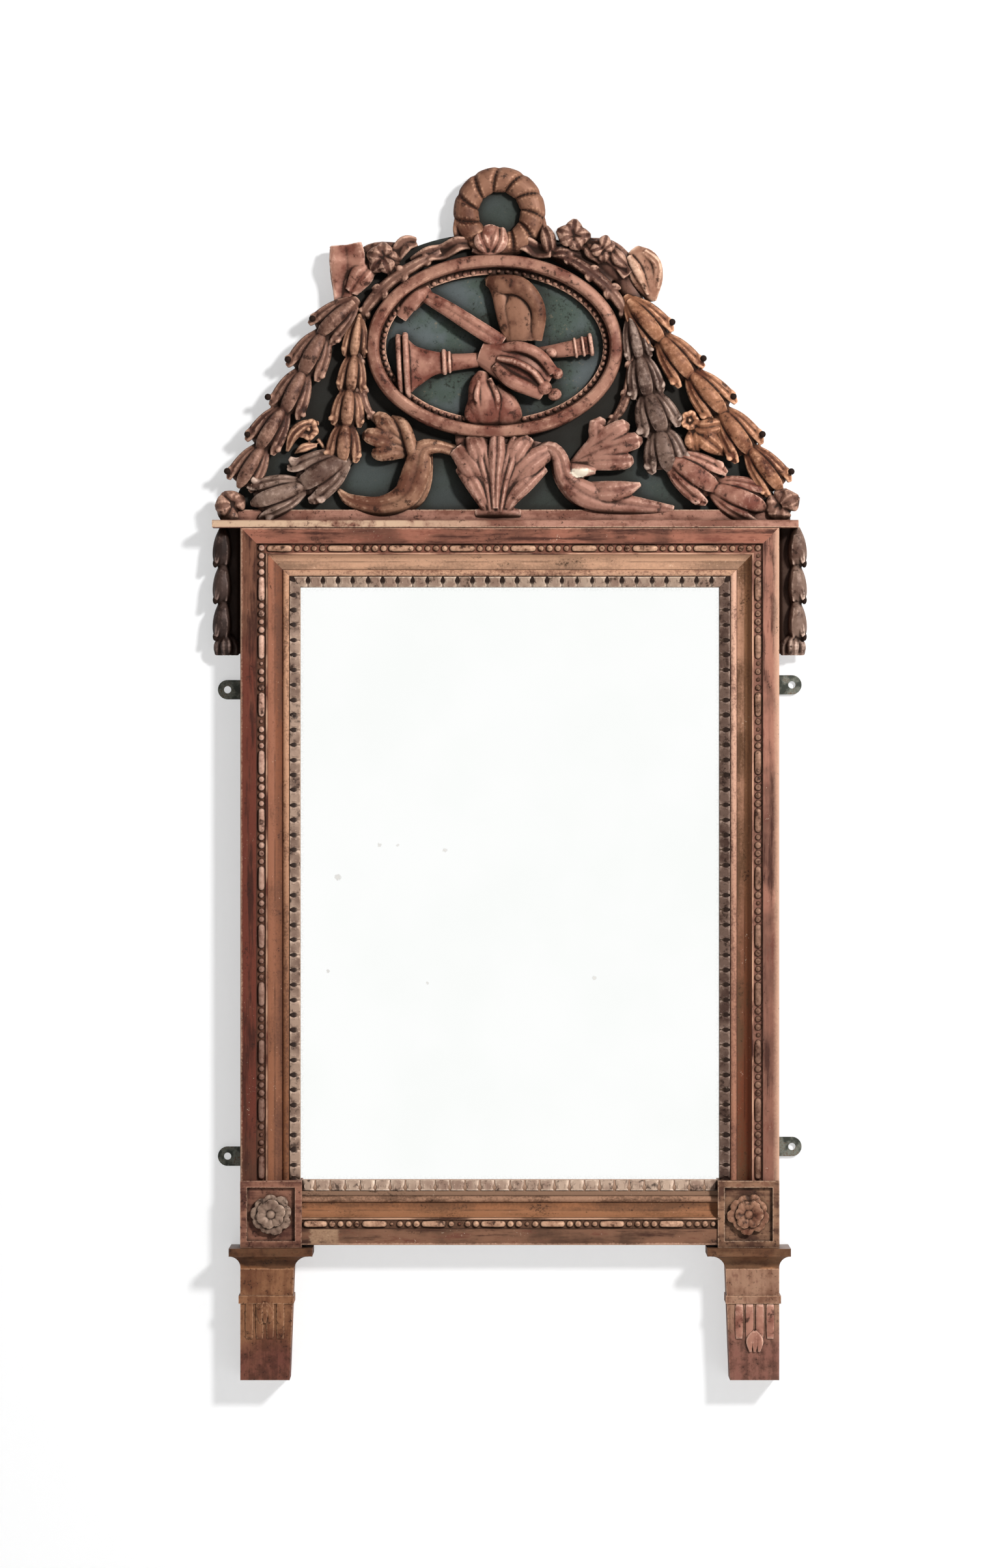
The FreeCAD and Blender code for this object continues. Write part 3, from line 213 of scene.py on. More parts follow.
# %% Shader values as expressions
class Mark:
    """A value that varies over a surface; arithmetic on it adds Math nodes."""

    def __init__(self, tree, socket):
        self.tree = tree
        self.socket = socket

    def math(self, operation, first, second=0.0):
        return self.tree.node("ShaderNodeMath", {"operation": operation}, {0: first, 1: second})

    def __add__(self, other):
        return self.math("ADD", self, other)

    def __sub__(self, other):
        return self.math("SUBTRACT", self, other)

    def __rsub__(self, other):
        return self.math("SUBTRACT", other, self)

    def __mul__(self, other):
        return self.math("MULTIPLY", self, other)

    def __abs__(self):
        return self.math("ABSOLUTE", self)

    __radd__ = __add__
    __rmul__ = __mul__

    def highest(self, other):
        return self.math("MAXIMUM", self, other)

    def root(self):
        return self.math("SQRT", self)

    def between(self, low, high):
        """0 at low and 1 at high, with soft ends; low may be the larger of the two."""
        span = {"Value": self, "From Min": low, "From Max": high}
        return self.tree.node("ShaderNodeMapRange", {"interpolation_type": "SMOOTHSTEP"}, span)

    def inside(self, low, high, soft):
        """1 from low to high and 0 outside."""
        return self.between(low - soft, low + soft) * self.between(high + soft, high - soft)


class NodeTree:
    """The nodes of a material or of the world."""

    def __init__(self, tree):
        self.tree = tree

    def node(self, kind, settings=None, inputs=None, output=0):
        """Add a node: its settings first, then its sockets' values or links. Gives one of its outputs."""
        made = self.tree.nodes.new(kind)
        for name, value in (settings or {}).items():
            setattr(made, name, value)
        for name, value in (inputs or {}).items():
            self.join(value, made.inputs[name])
        return Mark(self, made.outputs[output])

    def join(self, value, socket):
        """Link a value that varies, or set one that doesn't."""
        if isinstance(value, Mark):
            self.tree.links.new(value.socket, socket)
        else:
            socket.default_value = value


print("shader values:", Mark.__name__, "in a", NodeTree.__name__)


# %% Colours
def tint(red, green, blue):
    """A colour as painters name it, 0 to 255, in the linear light that a shader takes."""
    channels = []
    for level in (red, green, blue):
        share = level / 255
        channels.append(share / 12.92 if share <= 0.04045 else ((share + 0.055) / 1.055) ** 2.4)
    return (*channels, 1.0)


def shaded(colour, share):
    """The same colour with only a share of its light."""
    return (*(level * share for level in colour[:3]), 1.0)


WHITE = tint(255, 255, 255)
print("white:", WHITE)

# %% [markdown]
# ## One finish
# Blender's Principled shader does for wood, paint, iron and silvering. A finish is that shader with the
# maths in front of it: places in millimetres, noise, hollows and backs, which every material below takes
# from here.

# %% What a finish can read
DULL_GLOSS = 0.15
CREVICE_SAMPLES = 8
FACES_THE_WALL = (0.5, 0.8)


class Finish(NodeTree):
    """One material that is put together from nodes."""

    def __init__(self, name):
        self.material = bpy.data.materials.new(name)
        self.material.use_nodes = True
        super().__init__(self.material.node_tree)
        self.shader = self.tree.nodes["Principled BSDF"]
        self.shader.inputs["Specular IOR Level"].default_value = DULL_GLOSS
        self.place = self.node("ShaderNodeTexCoord", output="Object")
        self.x, self.y, self.z = (
            self.node("ShaderNodeSeparateXYZ", {}, {0: self.place}, output=axis) * (1 / MM) for axis in "XYZ"
        )

    def set(self, **sockets):
        """Set or link the shader's sockets, named as in base_color."""
        for name, value in sockets.items():
            self.join(value, self.shader.inputs[name.replace("_", " ").title()])

    def shift(self, seed):
        """Move the noise that is made from here on, so that two finishes don't share their spots."""
        self.place = self.node("ShaderNodeVectorMath", {"operation": "ADD"}, {0: self.place, 1: (seed,) * 3})

    def spread_from(self, middle, half_width, half_height):
        """0 at a place and 1 all along an oval round it, whose half sizes are in mm."""
        across = (self.x - float(middle[0] / MM)) * (1 / half_width)
        up = (self.z - float(middle[2] / MM)) * (1 / half_height)
        return across * across + up * up

    def mix(self, share, first, second):
        """From the first colour to the second as share goes from 0 to 1."""
        return self.node("ShaderNodeMix", {"data_type": "RGBA"}, {0: share, 6: first, 7: second}, output=2)

    def noise(self, scale, detail=3.0, rough=0.55, stretch=None):
        """Soft noise, with so many lumps a metre, drawn out along an axis if stretch says so."""
        place = self.place
        if stretch is not None:
            place = self.node("ShaderNodeVectorMath", {"operation": "MULTIPLY"}, {0: place, 1: stretch})
        inputs = {"Vector": place, "Scale": scale, "Detail": detail, "Roughness": rough}
        return self.node("ShaderNodeTexNoise", {}, inputs)

    def attribute(self, name):
        """A number that the mesh stores at its points."""
        return self.node("ShaderNodeAttribute", {"attribute_name": name}, output="Fac")

    def back(self):
        """1 where a surface looks at the wall."""
        normal = self.node("ShaderNodeTexCoord", output="Normal")
        return self.node("ShaderNodeSeparateXYZ", {}, {0: normal}, output="Y").between(*FACES_THE_WALL)

    def crevice(self, reach):
        """1 on open surfaces, and less where other surfaces within reach close them in."""
        settings = {"samples": CREVICE_SAMPLES, "only_local": False}
        return self.node("ShaderNodeAmbientOcclusion", settings, {"Distance": reach}, output="AO")

    def bump(self, height, distance, strength):
        """Fine grain that is too small to model."""
        inputs = {"Height": height, "Distance": distance, "Strength": strength}
        self.join(self.node("ShaderNodeBump", {}, inputs), self.shader.inputs["Normal"])


def dress(name, finish):
    """A construction node keeps its shape and takes a finish."""
    materials = nodes[name].data.materials
    materials.clear()
    materials.append(finish.material)


print("finish tools ready")

# %% [markdown]
# ## Carved gilding
# On a carving the leaf is rubbed away where hands and dusters reach, and dirt stays in the hollows. The carve
# function below measures each point's bulge and stores it, and this finish reads it: high edges turn pale and
# worn, hollows and closed-in crevices turn nearly black with dirt and painted shade, and broad noise lets the
# red bole through in patches.

# %% Carved finishes
# Near-black for real dirt and for the painted shade that darkens hollows, crevices, creases and corners.
DIRT_AND_SHADE = tint(34, 20, 13)
GESSO = tint(214, 194, 170)
WHITE_GROUND = tint(214, 200, 180)
FALLEN_DIRT = tint(66, 36, 26)
FALL = (190.0, -210.0)
CREVICE_REACH = 14 * MM
CARVED_GRAIN = 0.25 * MM


def carved_finish(name, bole, leaf, rubbed, seed, bare=None, fall=0.0):
    """Worn gilding for a carving, darker towards the bottom by a share of fall.

    bare is (column, row, half width, half height in mm) of a spot where the gilding is gone.
    """
    finish = Finish(name)
    fine_bulge = finish.attribute("fine_bulge")
    broad_bulge = finish.attribute("broad_bulge")
    finish.shift(seed)
    patches = finish.noise(38.0, 3.0)
    blots = finish.noise(110.0, 4.0, 0.6)
    flecks = finish.noise(420.0, 4.0, 0.65)
    streaks = finish.noise(900.0, 2.0)
    leaf_left = (patches * 0.7 + blots * 0.3 + broad_bulge * 0.1).between(0.4, 0.6)
    colour = finish.mix(leaf_left, shaded(bole, 0.9), shaded(leaf, 0.82))
    high = (fine_bulge * 0.6 + broad_bulge * 0.35 + flecks * 0.7 + blots * 0.7).between(0.92, 1.46)
    colour = finish.mix(high * 0.95, colour, shaded(rubbed, 1.1))
    chips = (flecks * 0.75 + patches * 0.35 + fine_bulge * 0.2).between(0.84, 0.94)
    colour = finish.mix(chips * 0.6, colour, GESSO)
    # Dirt and painted shade: hollows, and crevices that other surfaces close in, darken nearly to black as if
    # in shadow, together with real stains.
    low = (fine_bulge * -0.5 + broad_bulge * -0.7 + flecks * 0.4).between(0.14, 0.66)
    stains = (blots * 0.7 + flecks * 0.3).between(0.46, 0.36) * 0.85
    crevice_shade = finish.crevice(CREVICE_REACH).between(0.84, 0.46)
    colour = finish.mix(low.highest(crevice_shade).highest(stains) * 0.95, colour, DIRT_AND_SHADE)
    if fall:
        colour = finish.mix(finish.z.between(*FALL) * fall, colour, FALLEN_DIRT)
    if bare is not None:
        column, row, half_width, half_height = bare
        from_middle = finish.spread_from(spot(column, row, 0), half_width, half_height)
        ragged = (from_middle + flecks + blots * 2.0).between(2.3, 1.9)
        colour = finish.mix(ragged, colour, WHITE_GROUND)
    finish.set(base_color=colour, roughness=0.62 - leaf_left * 0.14 + low * 0.2, metallic=leaf_left * 0.12)
    finish.bump(flecks * 0.7 + streaks * 0.3, CARVED_GRAIN, 0.6)
    return finish


ROSY = carved_finish("rosy_bole", tint(114, 65, 53), tint(174, 124, 105), tint(212, 170, 150), 0.0)
TAN = carved_finish("tan_gilding", tint(104, 64, 48), tint(156, 114, 90), tint(200, 160, 132), 1.3)
GREY = carved_finish("grey_gilding", tint(88, 63, 53), tint(138, 112, 98), tint(188, 162, 146), 2.1)
ORANGE = carved_finish("orange_gilding", tint(96, 54, 38), tint(154, 104, 76), tint(212, 160, 126), 3.7)
BROWN = carved_finish("brown_bole", tint(80, 50, 41), tint(126, 90, 75), tint(178, 140, 120), 4.9)
# Painted shade: a darkened copy of the bole, for the left pendant that lies in the frame's shade and for the
# shadow balls at the husk tips.
SHADOW_BOLE = carved_finish("painted_shadow_bole", tint(42, 30, 26), tint(74, 57, 51), tint(118, 98, 90), 6.1)
PALE = carved_finish("pale_gilding", tint(142, 114, 98), tint(184, 158, 138), tint(214, 190, 170), 7.3)
WARM = carved_finish("warm_gilding", tint(92, 56, 42), tint(148, 105, 83), tint(194, 150, 121), 8.4)
DUSK = carved_finish("dusky_gilding", tint(74, 53, 45), tint(118, 94, 82), tint(174, 150, 136), 9.2)
RUSSET = carved_finish("russet_bole", tint(116, 70, 57), tint(172, 125, 105), tint(202, 158, 134), 10.6)
CHIPPED = carved_finish("chipped_bole", tint(108, 64, 52), tint(164, 118, 101), tint(204, 164, 145), 11.8,
                        (893, 724, 11.5, 5.0))
ASHEN = carved_finish("ashen_gilding", tint(112, 88, 75), tint(158, 132, 114), tint(196, 170, 150), 12.7)
LEFT_BEADS = carved_finish("left_bead_gilding", tint(128, 84, 70), tint(178, 134, 114), tint(208, 170, 150),
                           13.5, fall=0.72)
RIGHT_BEADS = carved_finish("right_bead_gilding", tint(78, 49, 38), tint(122, 86, 66), tint(172, 134, 112),
                            14.2, fall=0.4)
PEACH = carved_finish("peach_gilding", tint(140, 96, 76), tint(196, 150, 124), tint(224, 186, 160), 15.1)
print("carved finishes, from", ROSY.material.name, "to", PEACH.material.name)

# %% [markdown]
# ## Carving
# The skins of one carving overlap like lumps of clay. Booleans could join them, but they fail easily on so
# many thin petals. A voxel remesh fuses them into one closed skin, and a little smoothing rounds the joints
# as a rasp would. Pieces that stand apart, such as pearls, stay as they are.

# %% How far a point stands out
PULL = 0.6
BULGES = (("fine_bulge", 8, 0.35 * MM), ("broad_bulge", 60, 1.6 * MM))
BULGE_LIMIT = 2


def rows_of(elements, field, width, kind=float):
    """A field of every vertex or edge of a mesh, as rows of numbers."""
    flat = np.empty(len(elements) * width, dtype=kind)
    elements.foreach_get(field, flat)
    return flat.reshape(-1, width)


def relaxed(points, edges, rounds):
    """The points drawn towards their neighbours a number of times."""
    count = len(points)
    first, second = edges.T
    degree = np.maximum(np.bincount(edges.ravel(), minlength=count), 1)[:, None]
    for _ in range(rounds):
        total = np.column_stack([
            np.bincount(first, axis[second], count) + np.bincount(second, axis[first], count)
            for axis in points.T
        ])
        points = (1 - PULL) * points + PULL * total / degree
    return points


def mark_bulges(mesh, strength=1.0):
    """Store how far each point stands out of its surroundings, near by and further off."""
    points = rows_of(mesh.vertices, "co", 3)
    normals = rows_of(mesh.vertices, "normal", 3)
    edges = rows_of(mesh.edges, "vertices", 2, np.int32)
    for name, rounds, full in BULGES:
        stands_out = ((points - relaxed(points, edges, rounds)) * normals).sum(axis=1) / full
        bulge = mesh.attributes.new(name, "FLOAT", "POINT")
        bulge.data.foreach_set("value", np.clip(stands_out, -BULGE_LIMIT, BULGE_LIMIT) * strength)


print("stored on every carving:", [name for name, rounds, full in BULGES])


# %% Fuse skins into a carving
def joined(name, skins):
    """One mesh with all the skins in it."""
    points, faces, start = [], [], 0
    for skin_points, skin_faces in skins:
        points.append(skin_points)
        faces.extend([tuple(index + start for index in face) for face in skin_faces])
        start += len(skin_points)
    mesh = bpy.data.meshes.new(name)
    mesh.from_pydata(np.vstack(points).tolist(), [], faces)
    return mesh


def place_piece(name, mesh, finish, replaced=()):
    """A finished mesh as a piece of the mirror."""
    piece = bpy.data.objects.new(name, mesh)
    bpy.context.scene.collection.objects.link(piece)
    mesh.materials.clear()
    mesh.materials.append(finish.material)
    mesh.polygons.foreach_set("use_smooth", [True] * len(mesh.polygons))
    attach(piece, "root")
    if replaced:
        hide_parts(*replaced)


def carve(name, skins, finish, voxel=0.75 * MM, rounds=3):
    """Fuse the skins into one carved piece in the place of a construction node."""
    rough = bpy.data.objects.new(name + "_rough", joined(name, skins))
    bpy.context.scene.collection.objects.link(rough)
    fuse = rough.modifiers.new("fuse", "REMESH")
    fuse.mode = "VOXEL"
    fuse.voxel_size = voxel
    rasp = rough.modifiers.new("rasp", "SMOOTH")
    rasp.factor = 0.5
    rasp.iterations = rounds
    shape = rough.evaluated_get(bpy.context.evaluated_depsgraph_get())
    mesh = bpy.data.meshes.new_from_object(shape)
    bpy.data.objects.remove(rough)
    mark_bulges(mesh)
    place_piece("carved_" + name, mesh, finish, (name,))
    print(name, "faces", len(mesh.polygons))


SMALL_BULGE = 0.3
# Painted shadow: the balls at the husk tips read their bulge turned over, so their finish darkens them like a
# hollow.
SHADOW_BULGE = -1.0


def set_out(name, skins, finish, bulge, replaced=()):
    """Skins that stay apart, as one piece; bulge scales what the finish reads of their roundness."""
    mesh = joined(name, skins)
    mark_bulges(mesh, bulge)
    place_piece(name, mesh, finish, replaced)
    print(name, "skins", len(skins))


# %% [markdown]
# ## Husks
# The garlands are strings of bell-shaped husks: a neck, a broad middle petal and two side petals with small
# lips that stand off the board. On the outer lip of each husk of the outer strings sits a small dark ball,
# painted shadow under the curl. One modelled husk could be copied along a curve, but no two real ones are
# alike, so one function makes a husk along any direction, with a little chance in it, and a string of them
# follows a line that was read from the photograph.

# %% One husk
PETAL_STEPS = 12


def husk(neck, mouth, width, rise, chance):
    """The skins of one husk from its neck to its mouth; width and rise in metres."""
    reach = mouth - neck
    along = unit(reach)
    length = np.linalg.norm(reach)
    across = np.cross(along, FRONT)
    lean = chance.uniform(-0.08, 0.08)

    def at(forward, sideways, up):
        shift = across * width * (sideways + lean * forward)
        return neck + along * length * forward + shift + FRONT * rise * up

    def petal(stops, section, roll=0.0):
        rows = [[*at(*stop[:3]), stop[3] * width, stop[4] * rise] for stop in stops]
        return sweep(rows, section, PETAL_STEPS, roll)

    skins = [
        petal([(-0.16, 0, 0.2, 0.16, 0.28), (0.12, 0, 0.36, 0.34, 0.44), (0.45, 0, 0.44, 0.5, 0.46),
               (0.78, 0, 0.38, 0.52, 0.4), (0.96, 0, 0.22, 0.36, 0.26)], POD),
        petal([(-0.04, 0, 0.56, 0.12, 0.2), (0.3, 0, 0.84, 0.2, 0.24), (0.65, 0, 0.94, 0.23, 0.24),
               (0.92, 0, 0.78, 0.2, 0.18), (1.1, 0, 0.5, 0.08, 0.08)], PLAIN_LEAF),
    ]
    for side in (-1, 1):
        curl = chance.uniform(0.85, 1.15)
        skins.append(petal([
            (0.0, 0.14 * side, 0.44, 0.14, 0.18), (0.32, 0.33 * side, 0.6, 0.18, 0.2),
            (0.68, 0.42 * side, 0.62, 0.205, 0.2), (0.92, 0.45 * side, 0.56, 0.16, 0.16),
            (1.05, 0.45 * side * curl, 0.5, 0.09, 0.1),
        ], LEAF, roll=0.5 * side))
        skins.append(petal([
            (0.7, 0.42 * side, 0.5, 0.14, 0.16), (0.84, 0.52 * side, 0.64, 0.13, 0.14),
            (0.9, 0.6 * side * curl, 0.74, 0.06, 0.08),
        ], POD))
    return skins


print("a husk has a body, three petals and two lips")

# %% Strings of husks
HUSK_STEPS = 8
HUSK_HEIGHT = 17 * MM
HUSK_SIZES = (0.92, 1.06)
TIP_RADII = (2.8 * MM, 3.4 * MM, 2.8 * MM)
TIP_RISE = 12 * MM


def husk_ends(stops, count):
    """The neck and mouth of husks end to end along stops of (column, row, full width in mm)."""
    rows = [[*spot(column, row, 0.0), width * MM] for column, row, width in stops]
    line = smooth_rows(rows, count * HUSK_STEPS + 1)
    return list(zip(line[::HUSK_STEPS], line[HUSK_STEPS::HUSK_STEPS]))


def husk_string(stops, count, seed):
    """The skins of a string of husks."""
    chance = random.Random(seed)
    skins = []
    for neck, mouth in husk_ends(stops, count):
        width = mouth[3] * chance.uniform(*HUSK_SIZES)
        skins += husk(neck[:3], mouth[:3], width, HUSK_HEIGHT * chance.uniform(*HUSK_SIZES), chance)
    return skins


def husk_tip_shadows(name, stops, count, side):
    """A small dark ball on the outer lip of each husk of a string, painted shadow under its curl."""
    tips = []
    for neck, mouth in husk_ends(stops, count):
        reach = mouth[:3] - neck[:3]
        across = np.cross(unit(reach), FRONT)
        place = neck[:3] + reach * 0.9 + across * side * mouth[3] * 0.56 + FRONT * TIP_RISE
        tips.append(ball(place, TIP_RADII))
    set_out(name, tips, SHADOW_BOLE, SHADOW_BULGE)


LEFT_OUTER = [(540, 464, 20), (500, 504, 26), (476, 548, 28), (441, 614, 28), (407, 676, 28), (368, 742, 26)]
RIGHT_OUTER = [(968, 462, 20), (1008, 508, 27), (1054, 562, 28), (1100, 620, 28), (1146, 680, 28),
               (1200, 746, 26)]
LEFT_INNER = [(550, 490, 13), (545, 536, 18), (537, 592, 21), (531, 645, 23), (524, 704, 24)]
RIGHT_INNER = [(970, 490, 13), (980, 530, 19), (990, 582, 24), (1010, 646, 31), (1030, 716, 32)]
LEFT_LOWER = [(526, 704, 20), (462, 746, 33), (392, 772, 32)]
RIGHT_LOWER = [(1032, 704, 20), (1102, 750, 35), (1172, 776, 32)]
carve("left_outer_garland", husk_string(LEFT_OUTER, 5, 11), BROWN)
carve("right_outer_garland", husk_string(RIGHT_OUTER, 5, 12), ORANGE)
husk_tip_shadows("left_garland_tip_shadows", LEFT_OUTER, 5, 1)
husk_tip_shadows("right_garland_tip_shadows", RIGHT_OUTER, 5, -1)
carve("left_inner_garland", husk_string(LEFT_INNER, 4, 13), WARM)
carve("right_inner_garland", husk_string(RIGHT_INNER, 4, 14), DUSK)
carve("left_lower_garland", husk_string(LEFT_LOWER, 2, 15), GREY)
carve("right_lower_garland", husk_string(RIGHT_LOWER, 2, 16), ROSY)

# %% [markdown]
# ## Flowers
# The rosettes of the corner blocks and the buds beside the garlands are rings of petals round a button.
# Each ring stands steeper than the one outside it, which is how a carver keeps the heart of a flower in
# shade. The corner flowers are worn to loose clusters of curled leaves, so they are made that way and not
# as neat rings.


# %% Flowers
def flower(middle, radius, rise, rings, chance, squeeze=1.0):
    """Rings of petals, each (count, inner share, outer share, root height, tip height).

    The shares are of the radius and the heights of the rise.
    """
    middle = np.asarray(middle)

    def petal_place(turn, share, up):
        across = np.array((math.cos(turn), 0.0, math.sin(turn) * squeeze))
        return middle + across * radius * share + FRONT * rise * up

    skins = [ball(middle + FRONT * rise * 0.3, (radius * 0.75, rise * 0.35, radius * 0.75 * squeeze))]
    for count, inner, outer, root, tip in rings:
        start = chance.uniform(0, 2 * math.pi)
        for index in range(count):
            turn = start + 2 * math.pi * (index + chance.uniform(-0.12, 0.12)) / count
            reach = outer * chance.uniform(0.9, 1.04)
            width = radius * outer * math.sin(math.pi / count) * 1.02
            rows = [
                [*petal_place(turn, inner, root), width * 0.45, rise * 0.2],
                [*petal_place(turn, (inner + reach) / 2, (root + tip) / 2 + 0.12), width, rise * 0.2],
                [*petal_place(turn, reach * 0.93, tip + 0.06), width * 0.75, rise * 0.15],
                [*petal_place(turn, reach * 1.02, tip - 0.1), width * 0.2, rise * 0.08],
            ]
            skins.append(sweep(rows, LEAF, 9))
    skins.append(ball(middle + FRONT * rise * 0.75, (radius * 0.2, rise * 0.22, radius * 0.2 * squeeze)))
    return skins


def rose(column, row, radius, seed, petals=5, breadth=0.58):
    """A worn rose as a loose cluster of curled leaves, its radius in mm."""
    chance = random.Random(seed)
    skins = [ball(spot(column, row, 5), (radius * 0.75 * MM, 6 * MM, radius * 0.7 * MM))]
    for index in range(petals):
        turn = 2 * math.pi * (index + chance.uniform(-0.35, 0.35)) / petals
        reach = radius * chance.uniform(0.75, 1.15) * MM / PIXEL
        lift = chance.uniform(-2, 3)
        across, down = math.cos(turn) * reach, -math.sin(turn) * reach
        skins.append(stroke([
            (column + across * 0.1, row + down * 0.1, 9 + lift, radius * 0.22, 3),
            (column + across * 0.6, row + down * 0.6, 11 + lift, radius * breadth, 4),
            (column + across, row + down, 6 + lift, radius * 0.2, 3),
        ], LEAF, 10))
    return skins


flower_chance = random.Random(21)
carve("left_corner_flower", rose(354, 774, 13.5, 22, 4, 0.7), BROWN)
carve("right_corner_flower", rose(1199, 776, 14.5, 23, 4, 0.7), BROWN)
BUD = [(5, 0.15, 1.0, 0.35, 0.6)]
carve("left_side_flower", flower(spot(473, 658, 0), 8.5 * MM, 14 * MM, BUD, flower_chance) + [
    stroke([(486, 672, 2, 2, 3), (500, 690, 3, 2.2, 3), (512, 706, 2, 2, 3)], POD),
    stroke([(452, 694, 3, 1, 2), (466, 686, 8, 4, 3), (486, 682, 5, 2, 2)], LEAF),
    stroke([(440, 690, 3, 2, 3), (448, 668, 9, 5, 4), (466, 652, 9, 5, 4), (488, 648, 4, 2, 3)], LEAF),
], WARM)
carve("right_side_flower", flower(spot(1060, 644, 0), 7.5 * MM, 13 * MM, BUD, flower_chance, 1.1) + [
    stroke([(1066, 652, 3, 3, 4), (1082, 656, 10, 8, 4), (1104, 652, 9, 7, 4), (1116, 650, 4, 2, 2)], LEAF),
    stroke([(1068, 656, 3, 3, 4), (1084, 672, 11, 9, 4), (1102, 686, 9, 7, 4), (1114, 696, 3, 2, 2)], LEAF),
    stroke([(1064, 658, 3, 3, 4), (1066, 676, 10, 8, 4), (1070, 694, 5, 3, 3)], LEAF),
    stroke([(1066, 690, 2, 2, 3), (1052, 706, 2, 2, 3)], POD),
], ORANGE)

# %% Rosettes
ROSETTE_RINGS = [(9, 0.3, 1.0, 0.25, 0.45), (6, 0.1, 0.68, 0.5, 0.8)]
ROSETTE_VOXEL = 0.45 * MM
for side, finish in (("left", ASHEN), ("right", TAN)):
    low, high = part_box(side + "_rosette")
    middle = ((low.x + high.x) / 2, high.y, (low.z + high.z) / 2)
    radius = (high.x - low.x) / 2 * 0.97
    petals = flower(middle, radius, high.y - low.y, ROSETTE_RINGS, flower_chance)
    carve(side + "_rosette", petals, finish, ROSETTE_VOXEL, rounds=2)

# %% [markdown]
# ## Pendants
# Beside the upper stiles hang three half husks over a strip that lies in shade, ending in a bud. They are
# seen from the side, so the husks of the garlands don't fit here: each has its lip on the outer edge only,
# with a small dark ball of painted shadow at its tip.

# %% Husk pendants
PENDANT_HUSKS = 3
HUSK_DROP = 0.285
PENDANT_TIP_RADII = (2.2 * MM, 4 * MM, 3.6 * MM)
PENDANT_VOXEL = 0.7 * MM


def pendant(side, outward, seed):
    """Three half husks and a bud, down the strip beside a stile."""
    chance = random.Random(seed)
    low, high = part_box(side + "_pendant")
    strip = (low.x + high.x) / 2
    width = high.x - low.x
    drop = high.z - low.z

    def at(share, sideways, up):
        return [strip + outward * sideways * width, high.y - up * MM, high.z - share * drop]

    strip_rows = [[*at(share, -0.02, 2.5), width * 0.44, 2.6 * MM] for share in (-0.006, 0.3, 0.6, 0.98)]
    skins = [sweep(strip_rows, outline(1.0, 0.9, points=5), 20)]
    for index in range(PENDANT_HUSKS):
        top = 0.005 + index * HUSK_DROP
        skins.append(sweep([
            [*at(top - 0.01, 0.24, 6), width * 0.16, 4 * MM],
            [*at(top + 0.09, 0.27, 9), width * 0.34, 7 * MM],
            [*at(top + 0.2, 0.29, 9), width * 0.4, 7 * MM],
            [*at(top + HUSK_DROP, 0.32, 6), width * 0.3, 4 * MM],
        ], PLAIN_LEAF, 14))
        skins.append(sweep([
            [*at(top + 0.04, 0.3, 12), width * 0.08, 2.5 * MM],
            [*at(top + 0.16, 0.42, 13), width * 0.15, 3 * MM],
            [*at(top + 0.26, 0.52, 14), width * 0.1, 2.5 * MM],
            [*at(top + 0.27, 0.62, 15 + chance.uniform(-1, 1)), width * 0.05, 1.2 * MM],
        ], LEAF, PETAL_STEPS))
        skins.append(sweep([
            [*at(top + 0.05, 0.18, 13), width * 0.08, 2 * MM],
            [*at(top + 0.16, 0.14, 14), width * 0.14, 2.4 * MM],
            [*at(top + 0.28, 0.12, 11), width * 0.05, 2 * MM],
        ], LEAF, PETAL_STEPS))
    for turn, up in ((-0.55, 8), (0.0, 12), (0.55, 8)):
        skins.append(sweep([
            [*at(0.84, 0.15, 6), width * 0.16, 3 * MM],
            [*at(0.91, 0.1 + turn * 0.5, up), width * 0.26, 4 * MM],
            [*at(0.985, 0.1 + turn * 0.55, up - 3), width * 0.2, 2.5 * MM],
        ], LEAF, 10))
    tip_shares = [0.275 + index * HUSK_DROP for index in range(PENDANT_HUSKS)]
    # Painted shadow: a small dark ball at the outer tip of each husk.
    tips = [ball(at(share, 0.56, 12), PENDANT_TIP_RADII) for share in tip_shares]
    set_out(side + "_pendant_tip_shadows", tips, SHADOW_BOLE, SHADOW_BULGE)
    return skins


# The left pendant takes the darkened bole whole: painted shade, since it lies in the frame's shade.
carve("left_pendant", pendant("left", -1, 31), SHADOW_BOLE, PENDANT_VOXEL)
carve("right_pendant", pendant("right", 1, 32), GREY, PENDANT_VOXEL)

# %% [markdown]
# ## The ribbon ring
# At the top a ribbon is wound round a ring, and shows as a thick ring with slanting creases. Windings could
# be modelled one by one, but the real ones are worn together, so the ring is one tube that draws in at each
# crease.

# %% Ribbon ring
RING_COLUMN, RING_ROW = 767.0, 323.5
RING_RADIUS = 27.5 * MM
RING_RISE = 4
RING_STEPS, RING_SIDES = 181, 20
TUBE_WIDTH, TUBE_HEIGHT = 10.6, 8.5
CREASE_IN, CREASE_DOWN = 1.0, 3.4
WINDINGS = 11
RING_SLANT = 0.14
CREASE_WIDTH = 0.11


def ring_point(turn, radius, up):
    """A point so far from the ring's middle, so many mm off the board."""
    middle = spot(RING_COLUMN, RING_ROW, up)
    return middle + np.array((math.cos(turn), 0.0, math.sin(turn))) * radius


def ring_skin():
    """The wound tube: broad swells with a narrow slanting crease between each pair."""
    rings = []
    for turn in np.linspace(0, 2 * math.pi, RING_STEPS):
        ring = []
        for side in np.linspace(0, 2 * math.pi, RING_SIDES, endpoint=False):
            phase = (turn + RING_SLANT * math.cos(side)) * WINDINGS / (2 * math.pi)
            crease = math.exp(-((phase - round(phase)) / CREASE_WIDTH) ** 2)
            reach = RING_RADIUS + math.cos(side) * (TUBE_WIDTH - CREASE_IN * crease) * MM
            up = RING_RISE + math.sin(side) * (TUBE_HEIGHT - CREASE_DOWN * crease)
            ring.append(ring_point(turn, reach, up))
        rings.append(ring)
    return skin(np.array(rings))


